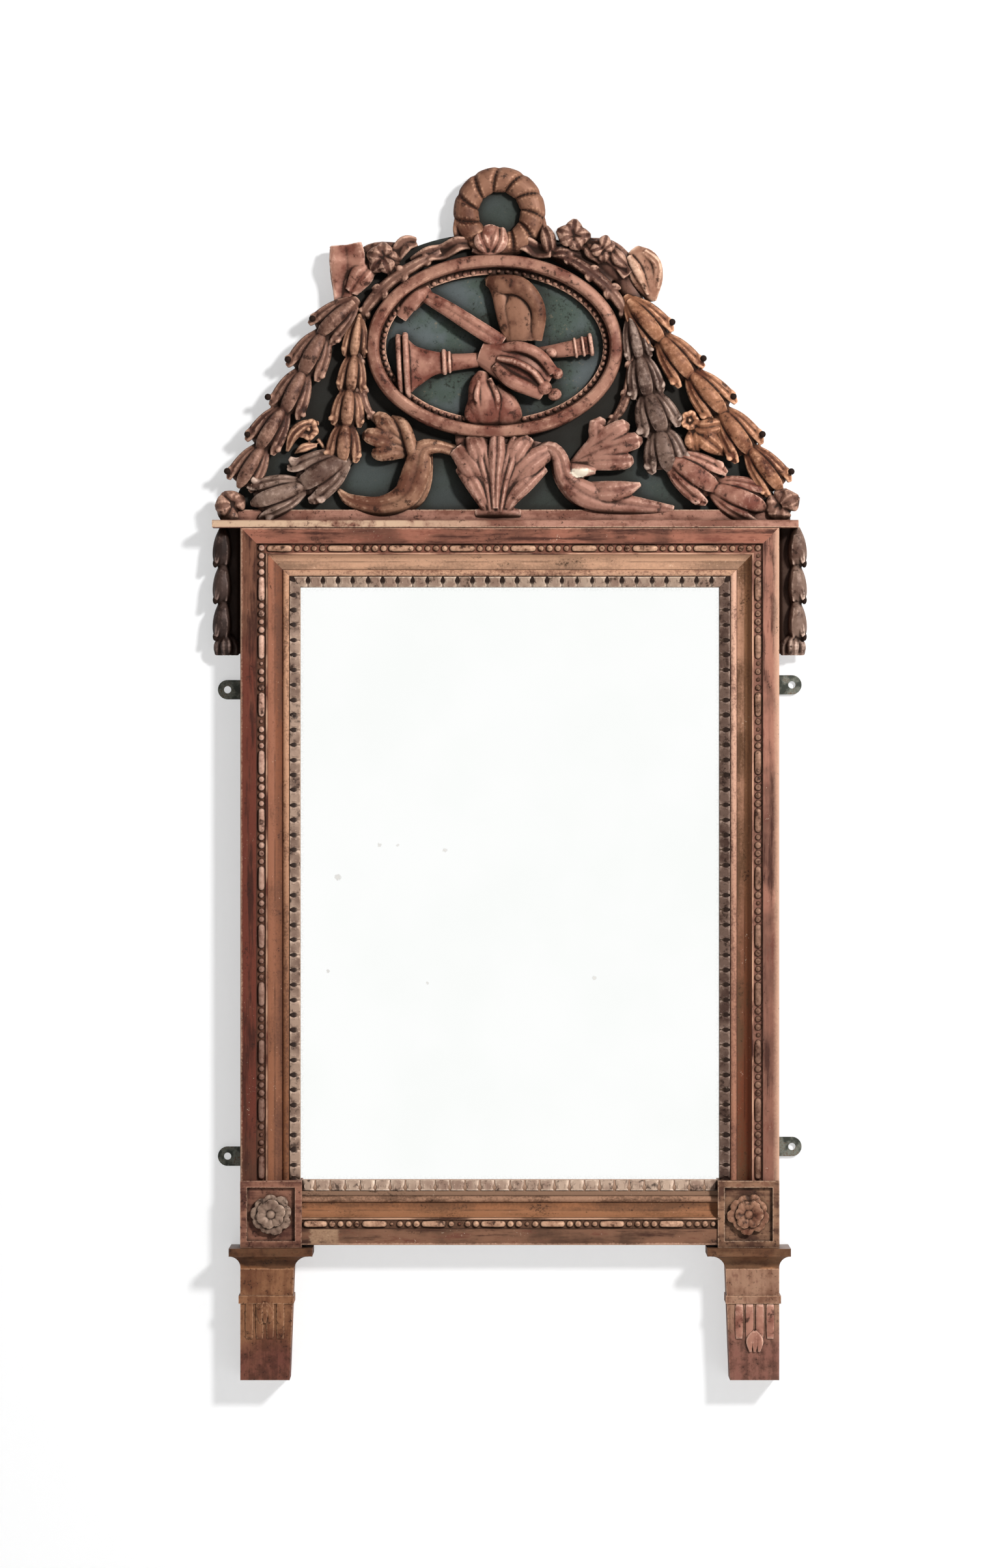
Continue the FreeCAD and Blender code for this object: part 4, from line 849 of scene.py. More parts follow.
FINE_VOXEL = 0.6 * MM
ring_legs = [
    stroke([(column, 330, 4, 8, 5), (column + lean, 350, 6, 8, 5), (column + lean, 368, 4, 6, 4)], RIBBON)
    for column, lean in ((713, -3), (822, 4))
]
carve("ribbon_ring", [ring_skin(), *ring_legs], WARM, voxel=FINE_VOXEL, rounds=2)
carve("ribbon_knot", [
    stroke([(738, 352, 4, 5, 5), (742, 368, 11, 8, 5), (750, 384, 8, 6, 4)], LEAF),
    stroke([(768, 350, 4, 5, 5), (766, 368, 11, 8, 5), (757, 386, 8, 6, 4)], LEAF),
    stroke([(752, 346, 5, 6, 6), (753, 366, 9, 7, 5), (753, 392, 4, 6, 4)], POD),
    stroke([(728, 378, 4, 5, 4), (752, 389, 8, 5, 4), (780, 380, 4, 5, 4)], PLAIN_LEAF),
], ROSY)

# %% [markdown]
# ## Ribbons on the rim
# The ribbon's ends lie on both sides of the rim among roses and lobed leaves, and end in two loose tails.
# Cloth could be draped there, but the real ribbons are carved from the solid, so they are strokes with a
# hollow section, fused with the leaves that they touch.

# %% Lobed leaves
LOBE_STEPS = 6


def leaf_stroke(path, lobes, seed):
    """A leaf along a path, with short lobes leaving both sides."""
    chance = random.Random(seed)
    rows = np.array(in_metres(path))
    line = smooth_rows(rows, lobes * LOBE_STEPS + 1)
    skins = [sweep(rows, BROAD_LEAF, lobes * LOBE_STEPS)]
    along = unit(np.gradient(line[:, :3], axis=0))
    for index in range(lobes):
        here = line[index * LOBE_STEPS + LOBE_STEPS // 2]
        forward = along[index * LOBE_STEPS + LOBE_STEPS // 2]
        across = np.cross(forward, FRONT)
        for side in (-1, 1):
            width = here[3] * chance.uniform(0.9, 1.15)
            height = here[4]
            tip = here[:3] + across * side * width * 1.25 + forward * width * 1.1 + FRONT * height * 0.1
            elbow = here[:3] + across * side * width * 0.8 + forward * width * 0.4 + FRONT * height * 0.45
            root = here[:3] - forward * width * 0.2
            skins.append(sweep([
                [*root, width * 0.3, height * 0.6], [*elbow, width * 0.55, height * 0.6],
                [*tip, width * 0.16, height * 0.25],
            ], BROAD_LEAF, 9))
    return skins


print("lobed leaves ready")

# %% Left ribbon
left_ribbon = [
    stroke([(728, 372, 3, 4, 3), (704, 372, 10, 6.5, 4), (680, 384, 6, 7, 4), (658, 388, 11, 6.5, 4),
            (634, 402, 5, 6, 4)], RIBBON, 24),
    stroke([(640, 368, 4, 4, 3), (622, 372, 10, 7, 4), (606, 392, 7, 6, 4)], RIBBON),
    stroke([(618, 372, 3, 2, 4), (572, 392, 3, 12, 4), (540, 430, 2, 10, 4), (536, 452, 2, 3, 3)], POD),
]
left_ribbon += rose(588, 394, 13.5, 51)
left_ribbon += leaf_stroke([(676, 384, 5, 3, 4), (640, 404, 9, 5, 5), (600, 430, 9, 5.5, 5),
                            (566, 466, 7, 5, 4), (550, 492, 3, 2, 2)], 4, 52)
left_ribbon += leaf_stroke([(556, 486, 3, 3, 4), (552, 530, 7, 4, 4), (552, 578, 7, 4, 4),
                            (560, 620, 6, 4, 4), (580, 650, 3, 2, 3)], 4, 55)
carve("left_ribbon", left_ribbon, BROWN)

# %% Right ribbon
right_ribbon = [
    stroke([(780, 374, 3, 4, 3), (806, 372, 10, 6.5, 4), (826, 382, 6, 7, 4), (846, 382, 11, 6.5, 4)],
           RIBBON, 24),
    stroke([(836, 346, 4, 4, 3), (842, 364, 11, 6.5, 5), (846, 386, 5, 5, 4)], LEAF),
    stroke([(900, 366, 4, 3, 4), (930, 386, 4, 13, 4), (960, 414, 3, 12, 4), (974, 444, 2, 4, 3)], POD),
    stroke([(836, 378, 2, 5, 4), (872, 388, 3, 10, 4), (908, 402, 3, 10, 4), (940, 430, 2, 5, 3)], POD),
    stroke([(944, 408, 1, 6, 5), (966, 436, 1, 9, 5), (978, 462, 1, 7, 4)], POD),
    stroke([(896, 376, 5, 4, 4), (922, 380, 11, 7, 4), (948, 398, 7, 6, 4), (966, 420, 10, 6, 4)],
           RIBBON, 20),
]
right_ribbon += rose(880, 362, 12.5, 53)
right_ribbon += leaf_stroke([(852, 384, 5, 3, 4), (886, 402, 9, 5, 5), (924, 430, 9, 5.5, 5),
                             (954, 466, 7, 5, 4), (966, 492, 3, 2, 2)], 4, 54)
right_ribbon += rose(926, 380, 9.5, 56)
right_ribbon += [
    stroke([(898, 372, 4, 3, 4), (908, 384, 10, 6, 4), (922, 400, 6, 3, 3)], LEAF),
    stroke([(940, 378, 4, 3, 4), (950, 394, 10, 6, 4), (966, 408, 6, 3, 3)], LEAF),
    stroke([(846, 388, 4, 3, 4), (866, 386, 9, 6, 4), (890, 392, 5, 3, 3)], LEAF),
]
right_ribbon += leaf_stroke([(964, 486, 3, 3, 4), (970, 530, 7, 4, 4), (968, 578, 7, 4, 4),
                             (956, 624, 6, 4, 4), (930, 656, 3, 2, 3)], 4, 57)
carve("right_ribbon", right_ribbon, BROWN)

# %% Ribbon tails
carve("left_ribbon_tail", [
    stroke([(530, 372, 5, 13.5, 4), (533, 398, 9, 15.5, 4), (530, 430, 5, 12, 3.5), (521, 466, 6, 5, 3)],
           RIBBON, 20),
    stroke([(572, 404, 5, 5, 3), (556, 420, 8, 10, 3.5), (538, 446, 5, 6, 3)], LEAF),
    stroke([(530, 376, 0, 13, 5), (528, 420, 0, 12, 5), (521, 464, 0, 4, 4)], POD),
], ROSY)
carve("right_ribbon_tail", [
    stroke([(972, 382, 3, 7, 4), (988, 402, 7, 14, 5), (996, 428, 6, 13, 5), (1002, 460, 3, 4, 3)],
           PLAIN_LEAF, 20),
    stroke([(966, 392, 8, 3, 3), (980, 414, 12, 4, 3), (996, 450, 7, 2, 2)], POD),
    stroke([(990, 384, 8, 3, 3), (1010, 404, 11, 4, 3), (1008, 440, 7, 3, 2)], LEAF),
], PEACH)

# %% [markdown]
# ## The medallion
# The oval rim is a moulding with a ring of pearls on its inner step. A curve with a bevel could make it; here
# its section is carried round the box of the construction rim, so it follows any change of that size.
# Hand-cut pearls are never quite alike, so each is a small egg of its own size, and worn gaps show between
# them.

# %% Rim
low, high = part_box("medallion_rim")
RIM_MIDDLE = np.array(((low.x + high.x) / 2, 0.0, (low.z + high.z) / 2))
RIM_HALF = np.array(((high.x - low.x) / 2, (high.z - low.z) / 2))
RIM_WIDTH = 11 * MM
RIM_FRONT = low.y
RIM_STEPS = 180
RIM_SECTION = [(0, 0), (0, 0.6), (0.06, 0.8), (0.18, 0.92), (0.34, 0.97), (0.52, 1.0), (0.72, 1.0),
               (0.88, 0.94), (0.98, 0.78), (1.02, 0.4), (1.5, 0.36), (1.5, 0)]


def oval(turn, inset, y):
    """A point so far inside the rim's outer edge."""
    half = RIM_HALF - inset
    return np.array((RIM_MIDDLE[0] + half[0] * math.cos(turn), y, RIM_MIDDLE[2] + half[1] * math.sin(turn)))


def rim_skin():
    """The rim's section carried round the oval: rounded edge, broad roll and the step for the pearls."""
    depth = BOARD_FRONT - RIM_FRONT
    points, faces = [], []
    for turn in np.linspace(0, 2 * math.pi, RIM_STEPS, endpoint=False):
        for across, up in RIM_SECTION:
            points.append(oval(turn, across * RIM_WIDTH, BOARD_FRONT - up * depth))
    count = len(RIM_SECTION)
    for step in range(RIM_STEPS):
        here = step * count
        after = (step + 1) % RIM_STEPS * count
        for side in range(count):
            other = (side + 1) % count
            faces.append((here + side, after + side, after + other, here + other))
    return np.array(points), faces


carve("medallion_rim", [rim_skin()], RUSSET, voxel=0.7 * MM, rounds=2)

# %% Pearls
PEARLS = 82
PEARL_RADIUS = 2.35 * MM
PEARL_INSET = RIM_WIDTH + 2.75 * MM
PEARL_FRONT = -18.3 * MM
WORN_PEARLS = 0.05
WORN_SIZE = 0.6
pearl_chance = random.Random(61)
pearls = []
for index in range(PEARLS):
    turn = 2 * math.pi * index / PEARLS
    size = PEARL_RADIUS * pearl_chance.uniform(0.86, 1.06)
    if pearl_chance.random() < WORN_PEARLS:
        size *= WORN_SIZE
    pearls.append(ball(oval(turn, PEARL_INSET, PEARL_FRONT), (size, size, size), 12, 8))
set_out("carved_medallion_pearls", pearls, RUSSET, SMALL_BULGE, ("medallion_pearls",))

# %% [markdown]
# ## The trophy
# Inside the medallion lie a horn, a mattock, a plume, a small drum and a bag. They could be turned and bent
# like real tools, but they are worn, so each is a few strong forms with its own edges: lips, collars and
# slits.


# %% Horn
def tube_ring(column, row, rise, radii, tilt):
    """A short collar round a tube: radii across and along in mm, and its tilt in the picture's plane."""
    middle = spot(column, row, rise)
    rows = []
    for turn in np.linspace(0, 2 * math.pi, 25):
        across = math.cos(turn) * radii[0] * MM
        up = math.sin(turn) * radii[1] * MM
        place = middle + np.array((-math.sin(tilt) * across, 0, math.cos(tilt) * across)) + FRONT * up
        rows.append([*place, radii[2] * MM, radii[2] * MM])
    return sweep(rows, POD, 30)


carve("trophy_horn", [
    stroke([(628, 560, 7, 23, 7), (640, 559, 7, 17, 6.5), (662, 556, 7, 11, 6), (684, 555, 7, 8, 5.5)],
           POD, 18),
    tube_ring(624, 560, 7, (26, 7.5, 2.6), 0.05),
    tube_ring(613, 560, 6, (25, 6.5, 2.4), 0.05),
    tube_ring(682, 554, 7, (9, 6.5, 2.0), 0.05),
    tube_ring(690, 554, 7, (8, 6.0, 1.4), 0.05),
    stroke([(686, 555, 7, 7.5, 5), (720, 552, 6, 6.5, 5), (770, 547, 4, 6, 4.5), (830, 540, 4, 5.5, 4.5),
            (872, 534, 7, 6.5, 5), (904, 528, 7, 7.5, 4.5)], POD, 30),
    tube_ring(884, 532, 7, (7.5, 5.5, 1.2), 0.15),
    tube_ring(896, 530, 7, (7.5, 5.5, 1.2), 0.15),
    tube_ring(908, 527, 7, (8, 5.5, 1.8), 0.15),
], ROSY, voxel=FINE_VOXEL)

# %% Mattock and plume
carve("trophy_mattock", [
    stroke([(650, 450, 5, 5.5, 4), (690, 474, 9, 6.5, 4.2), (730, 500, 11, 7, 4.2), (772, 526, 9, 7, 4)],
           BROAD_LEAF, 24),
    stroke([(656, 440, 4, 5.5, 4), (642, 452, 9, 6, 4), (628, 466, 8, 6.5, 3.5), (614, 484, 4, 6, 3)],
           PLAIN_LEAF, 18),
    stroke([(648, 452, 0, 5, 4), (630, 466, 0, 6, 4)], POD),
    stroke([(660, 456, 0, 4, 5), (700, 480, 0, 4, 5), (740, 503, 0, 4, 5)], POD),
], ROSY, voxel=FINE_VOXEL)
carve("trophy_plume", [
    stroke([(750, 428, 5, 5, 4), (768, 434, 11, 8, 5), (798, 438, 14, 8, 5), (820, 458, 15, 6.5, 5),
            (828, 484, 14, 6, 5), (822, 520, 9, 6, 4)], PLAIN_LEAF, 26),
    stroke([(752, 422, 4, 5, 4), (766, 446, 9, 6.5, 4), (772, 472, 9, 6.5, 4), (780, 500, 9, 7, 4),
            (790, 522, 8, 8, 4)], PLAIN_LEAF, 22),
    stroke([(774, 436, 5, 6, 4), (796, 456, 10, 14, 4), (802, 488, 11, 14, 4), (804, 522, 9, 14, 5)],
           POD, 18),
    stroke([(788, 470, 9, 2.5, 2.5), (800, 466, 11, 3, 2.5), (814, 474, 9, 2, 2)], POD, 14),
], WARM, voxel=FINE_VOXEL)

# %% Drum and bag
carve("trophy_drum", [
    stroke([(738, 540, 6, 10, 7), (770, 552, 9, 16, 8), (806, 572, 9, 17, 8), (838, 592, 6, 11, 7)], POD, 20),
    stroke([(762, 536, 10, 4, 4), (796, 532, 15, 5, 5), (828, 544, 15, 5, 5), (850, 570, 10, 5, 4)],
           PLAIN_LEAF, 20),
    stroke([(766, 550, 14, 2.6, 5), (792, 556, 19, 3, 5), (818, 570, 18, 3, 5), (836, 592, 11, 3, 4)],
           PLAIN_LEAF, 20),
    stroke([(760, 560, 14, 4, 4), (782, 582, 17, 6, 5), (808, 594, 15, 6, 5), (832, 604, 9, 5, 4)],
           PLAIN_LEAF, 20),
    ball(spot(856, 572, 9), (5 * MM, 5 * MM, 5 * MM)),
    ball(spot(836, 594, 12), (6.5 * MM, 5 * MM, 6 * MM)),
    ball(spot(852, 604, 8), (6 * MM, 5 * MM, 5.5 * MM)),
    ball(spot(846, 540, 9), (5.5 * MM, 4.5 * MM, 4.5 * MM)),
], ROSY, voxel=FINE_VOXEL)
carve("trophy_bag", [
    stroke([(742, 570, 6, 5, 5), (738, 592, 9, 10, 7), (746, 620, 10, 15, 8), (750, 640, 7, 14, 7),
            (752, 652, 3, 9, 5)], POD, 22),
    stroke([(736, 584, 14, 2, 2), (732, 610, 17, 2.5, 2.5), (740, 640, 12, 2, 2)], POD),
    stroke([(752, 580, 13, 2, 2), (764, 610, 16, 2.5, 2.5), (762, 638, 12, 2, 2)], POD),
    stroke([(756, 596, 7, 9, 6), (774, 622, 9, 12, 6), (784, 644, 6, 11, 5), (790, 656, 3, 6, 3)], POD),
    stroke([(726, 612, 6, 4, 5), (726, 636, 9, 7, 5), (736, 652, 5, 5, 4)], POD),
], ROSY, voxel=FINE_VOXEL)

# %% [markdown]
# ## The acanthus leaf
# Under the medallion an acanthus leaf opens like a fan. It could be sculpted, but strokes can be moved one by
# one until they sit as in the photograph. So a lobe is a broad stroke, and the leaf is a swelling ground with
# lobes that start low and end further out, and three folds up its middle.

# %% Acanthus
acanthus = [
    stroke([(760, 792, 4, 14, 6), (760, 770, 6, 14, 7), (762, 730, 6, 26, 7), (768, 690, 5, 38, 6),
            (774, 664, 3, 40, 5)], POD, 22),
    stroke([(730, 788, 6, 4, 3), (762, 784, 9, 5, 4), (800, 788, 6, 4, 3)], PLAIN_LEAF, 18),
    stroke([(755, 784, 10, 3, 4), (751, 742, 13, 5, 4), (743, 704, 14, 6.5, 4), (735, 670, 9, 5.5, 4)],
           LEAF, 20),
    stroke([(767, 784, 10, 3, 4), (773, 742, 13, 5, 4), (783, 704, 14, 6.5, 4), (794, 670, 9, 5.5, 4)],
           LEAF, 20),
    stroke([(761, 780, 12, 3, 4), (761, 736, 15, 5, 4), (763, 698, 16, 7, 4), (764, 666, 10, 6.5, 4)],
           LEAF, 20),
]
LOBES = (
    ((750, 782), (738, 744), (720, 712), (700, 688), 9.5),
    ((748, 748), (740, 718), (732, 692), (724, 668), 8.0),
    ((750, 786), (739, 764), (724, 738), (706, 716), 7.0),
    ((774, 782), (788, 744), (812, 712), (848, 688), 10.0),
    ((776, 748), (784, 718), (796, 692), (812, 670), 8.5),
    ((776, 786), (788, 764), (808, 742), (836, 716), 7.0),
)
for root, elbow, bend, tip, width in LOBES:
    acanthus.append(stroke([
        (*root, 7, width * 0.45, 4), (*elbow, 11, width * 0.8, 5), (*bend, 13, width, 5),
        (*tip, 8, width * 0.7, 4),
    ], BROAD_LEAF, 18))
carve("acanthus_leaf", acanthus, CHIPPED)

# %% [markdown]
# ## Leaf scrolls
# From the sides of the acanthus two leafy scrolls sweep out and down, each with a fan of pointed leaves on
# its outer side. The fans share one function, and the stems are strokes of their own because the two sides
# differ. A chip on the right scroll shows the white ground under its gilding.


# %% Scrolls
def fan_leaf(root, bend, curl, width, tip):
    """One leaf of a fan, from its root over a bend to its tip at (column, row, rise)."""
    column, row, rise = tip
    return stroke([
        (*root, 4, 4, 4), (bend[0], (bend[1] + row) / 2, 9, 8.5, 4.5), (column + curl, row, rise, width, 4),
        (column, row - 2, rise - 3, 3.5, 2.5),
    ], BROAD_LEAF, 14)


LEFT_FAN = ((574, 642, 9), (558, 668, 11), (572, 694, 9))
left_scroll = [
    stroke([(698, 690, 4, 5, 5), (672, 684, 9, 5.5, 5), (648, 690, 11, 8.5, 5), (639, 724, 11, 12, 5.5),
            (622, 760, 10, 11, 5.5), (584, 776, 8, 8.5, 5), (538, 767, 6, 5.5, 4), (518, 750, 4, 2, 3)],
           BROAD_LEAF, 44),
    stroke([(602, 640, 4, 3, 4), (620, 652, 10, 5, 5), (634, 694, 11, 5, 5), (640, 736, 8, 4, 5)],
           PLAIN_LEAF, 26),
    stroke([(652, 690, 1, 7, 4), (648, 738, 1, 8, 4), (630, 768, 1, 8, 4), (580, 782, 1, 7, 4)], POD, 20),
]
left_scroll += [fan_leaf((628, 694), (602, 686), 10, 7, tip) for tip in LEFT_FAN]
carve("left_scroll", left_scroll, TAN)
RIGHT_FAN = ((930, 650, 8), (966, 656, 11), (986, 676, 11), (972, 706, 9))
right_scroll = [
    stroke([(826, 690, 4, 5, 5), (846, 686, 9, 5.5, 5), (860, 702, 11, 7, 5), (870, 734, 11, 8, 5.5),
            (902, 759, 10, 11.5, 5.5), (948, 771, 8, 9.5, 5), (1036, 782, 5, 4, 3)], BROAD_LEAF, 40),
    stroke([(862, 716, 5, 5, 4), (888, 722, 10, 6, 5), (914, 720, 8, 4, 4)], PLAIN_LEAF, 14),
    stroke([(856, 700, 1, 7, 4), (868, 736, 1, 8, 4), (898, 764, 1, 9, 4), (950, 778, 1, 7, 4)], POD, 20),
    stroke([(896, 746, 4, 5, 4), (926, 754, 11, 9, 4.5), (960, 750, 10, 7, 4), (984, 742, 5, 2, 3)],
           BROAD_LEAF, 18),
]
right_scroll += [fan_leaf((880, 712), (918, 706), -12, 7.5, tip) for tip in RIGHT_FAN]
carve("right_scroll", right_scroll, CHIPPED)

# %% [markdown]
# ## Bead and reel
# A string of turned beads and long reels lies in a channel of each moulding. An array of one bead would be
# quick, but they were cut by hand and are worn, so every bead has its own size and a few are nearly gone.
# Between them the channel shows, darkened with painted shade in the moulding's finish.

# %% Bead rows
BEAD_RADIUS = 3.3 * MM
REEL_LENGTH = 21 * MM
REEL_SECTION = ((0.02, 0.35), (0.08, 0.85), (0.3, 1.0), (0.7, 1.0), (0.92, 0.85), (0.98, 0.35))
BEADS_IN_A_GROUP = 4
WORN_BEADS = 0.12


def bead_row(side, axis, finish, seed):
    """Beads and reels down the length of a row, in the place of the construction rods."""
    chance = random.Random(seed)
    low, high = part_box(side + "_bead_row")
    middle = [(low.x + high.x) / 2, high.y, (low.z + high.z) / 2]
    length = high[axis] - low[axis]
    repeat = REEL_LENGTH + BEADS_IN_A_GROUP * 2 * BEAD_RADIUS
    count = max(1, round(length / repeat))
    stretch = length / (count * repeat)
    skins = []

    def at(distance):
        place = list(middle)
        place[axis] = low[axis] + distance * stretch
        return place

    for index in range(count):
        start = index * repeat
        rows = []
        for share, size in REEL_SECTION:
            radius = BEAD_RADIUS * size * chance.uniform(0.9, 1.0)
            rows.append([*at(start + REEL_LENGTH * share), radius, radius * 0.95])
        skins.append(sweep(rows, POD, 16))
        for bead in range(BEADS_IN_A_GROUP):
            size = BEAD_RADIUS * chance.uniform(0.78, 0.98)
            if chance.random() < WORN_BEADS:
                size *= WORN_SIZE
            place = at(start + REEL_LENGTH + (bead * 2 + 1) * BEAD_RADIUS)
            skins.append(ball(place, (size, size, size), 12, 8))
    set_out("carved_" + side + "_bead_row", skins, finish, SMALL_BULGE, (side + "_bead_row",))


BEAD_ROWS = (
    ("top", 0, TAN, 71), ("bottom", 0, TAN, 72), ("left", 2, LEFT_BEADS, 73), ("right", 2, RIGHT_BEADS, 74),
)
for side, axis, finish, seed in BEAD_ROWS:
    bead_row(side, axis, finish, seed)

# %% [markdown]
# ## Leaf tips round the glass
# The slope next to the glass is cut with a row of small heart-shaped leaves, with a drilled eye between
# each pair. A bump map would lose its depth in other light, so they are real leaves. They belong to the
# frame's members, so they are added on the slope and replace nothing.

# %% Leaf tips
SIGHT_LOW, SIGHT_HIGH = np.array((-172.5, -244.0)) * MM, np.array((172.5, 244.0)) * MM
LEAF_PITCH = 12.3 * MM
SLOPE_FROM, SLOPE_TO = 8.2 * MM, 1.2 * MM
SLOPE_HIGH, SLOPE_LOW = -24.2 * MM, -21.2 * MM
TONGUE = ((-0.1, 0.48), (0.35, 0.47), (0.55, 0.43), (0.75, 0.38), (0.92, 0.42), (1.08, 0.47))


def leaf_tips(name, start, along, outward, length, finish, seed):
    """A row of leaf tips from a start point at the sight edge; outward points away from the glass."""
    chance = random.Random(seed)
    count = round(length / LEAF_PITCH)
    pitch = length / count
    skins = []

    def at(distance, share, up):
        reach = SLOPE_TO + (SLOPE_FROM - SLOPE_TO) * share
        depth = SLOPE_LOW + (SLOPE_HIGH - SLOPE_LOW) * share - up
        flat = start + along * distance + outward * reach
        return [flat[0], depth, flat[1]]

    for index in range(count):
        middle = (index + 0.5) * pitch
        size = chance.uniform(0.92, 1.06)
        tongue = []
        for share, half in TONGUE:
            tongue.append([*at(middle, share, 0.1 * MM), pitch * half * size, 1.0 * MM])
        skins.append(sweep(tongue, LEAF, 10))
        for side in (-1, 1):
            skins.append(sweep([
                [*at(middle + side * 0.2 * pitch, 0.35, 0.7 * MM), 0.6 * MM, 0.5 * MM],
                [*at(middle + side * 0.24 * pitch, 0.7, 0.7 * MM), 1.0 * MM, 0.7 * MM],
                [*at(middle + side * 0.14 * pitch, 0.98, 0.4 * MM), 0.5 * MM, 0.4 * MM],
            ], PLAIN_LEAF, 6))
    set_out(name, skins, finish, SMALL_BULGE)


width, height = SIGHT_HIGH - SIGHT_LOW
RIGHT, UP = np.array((1.0, 0.0)), np.array((0.0, 1.0))
MITRE = 6.0 * MM
top_start = np.array((SIGHT_LOW[0] - MITRE, SIGHT_HIGH[1]))
right_start = np.array((SIGHT_HIGH[0], SIGHT_LOW[1]))
leaf_tips("top_leaf_tips", top_start, RIGHT, UP, width + 2 * MITRE, PALE, 81)
leaf_tips("bottom_leaf_tips", SIGHT_LOW, RIGHT, -UP, width, PALE, 82)
leaf_tips("left_leaf_tips", SIGHT_LOW, UP, -RIGHT, height + MITRE, ASHEN, 83)
# The right leaf tips take the dusky finish as painted shade, since they face away from the light.
leaf_tips("right_leaf_tips", right_start, UP, RIGHT, height + MITRE, DUSK, 84)

# %% [markdown]
# ## Frame members
# A moulding is gilded in zones: a red band outside, a dark channel, a bright lip, a tan cove, a rubbed roll
# and the slope. The channel's darkness, the drilled eyes on the slope and the creases between zones are
# painted shade, and so is the right stile's darker slope. Each zone could be a material of its own, but wear
# and dirt cross their edges. So one finish works out the distance from the outer edge, picks the colour of
# each zone, and wears it with noise that is drawn out along the wood.

# %% Zones of a moulding
OUTER_X = 221.5
RAIL_TOP = 293.0
RAIL_BASE = -297.0
UPRIGHT, LEVEL = (1.0, 1.0, 0.08), (0.08, 1.0, 1.0)
BARE_WOOD = tint(150, 112, 76)
MAROON = tint(84, 36, 29)
RED_BOLE = tint(98, 45, 34)
SOOT = tint(48, 20, 14)
SIDE_DIRT = tint(62, 36, 26)
# Pale colour of a rubbed edge: worn gilding, and partly a painted highlight.
RUBBED_AND_LIT_EDGE = tint(206, 164, 138)
BRIGHT_LIP = tint(200, 156, 128)
WOOD_GRAIN = 0.5 * MM
CHANNEL, LIP, COVE, ROLL = (13.2, 21.2), (21.0, 22.6), (22.6, 34.4), (34.6, 40.0)
COVE_TURN, COVE_LINE = (27.4, 29.4), (27.6, 28.6)
SLOPE_START, EYES_END = (39.9, 40.2), (44.5, 48.5)
SEAMS = ((13.3, 13.7, 0.35), (22.4, 22.8, 0.3), (34.2, 34.7, 0.4), (39.8, 40.3, 0.4))
print("zones end at", CHANNEL[1], LIP[1], COVE[1], ROLL[1], "mm from the outer edge")


# %% Zoned finish
def gilded_wood(finish, colour, flecks, streaks, blots):
    """Hand the colour to the shader, with bare wood on the back and the gloss and grain of the frame."""
    bare = finish.mix((streaks * 0.7 + blots * 0.3).between(0.4, 0.62), BARE_WOOD, shaded(BARE_WOOD, 0.5))
    colour = finish.mix(finish.back(), colour, bare)
    finish.set(base_color=colour, roughness=0.5 + flecks * 0.25)
    finish.bump(flecks * 0.4 + streaks * 0.3 + blots * 0.3, WOOD_GRAIN, 0.7)


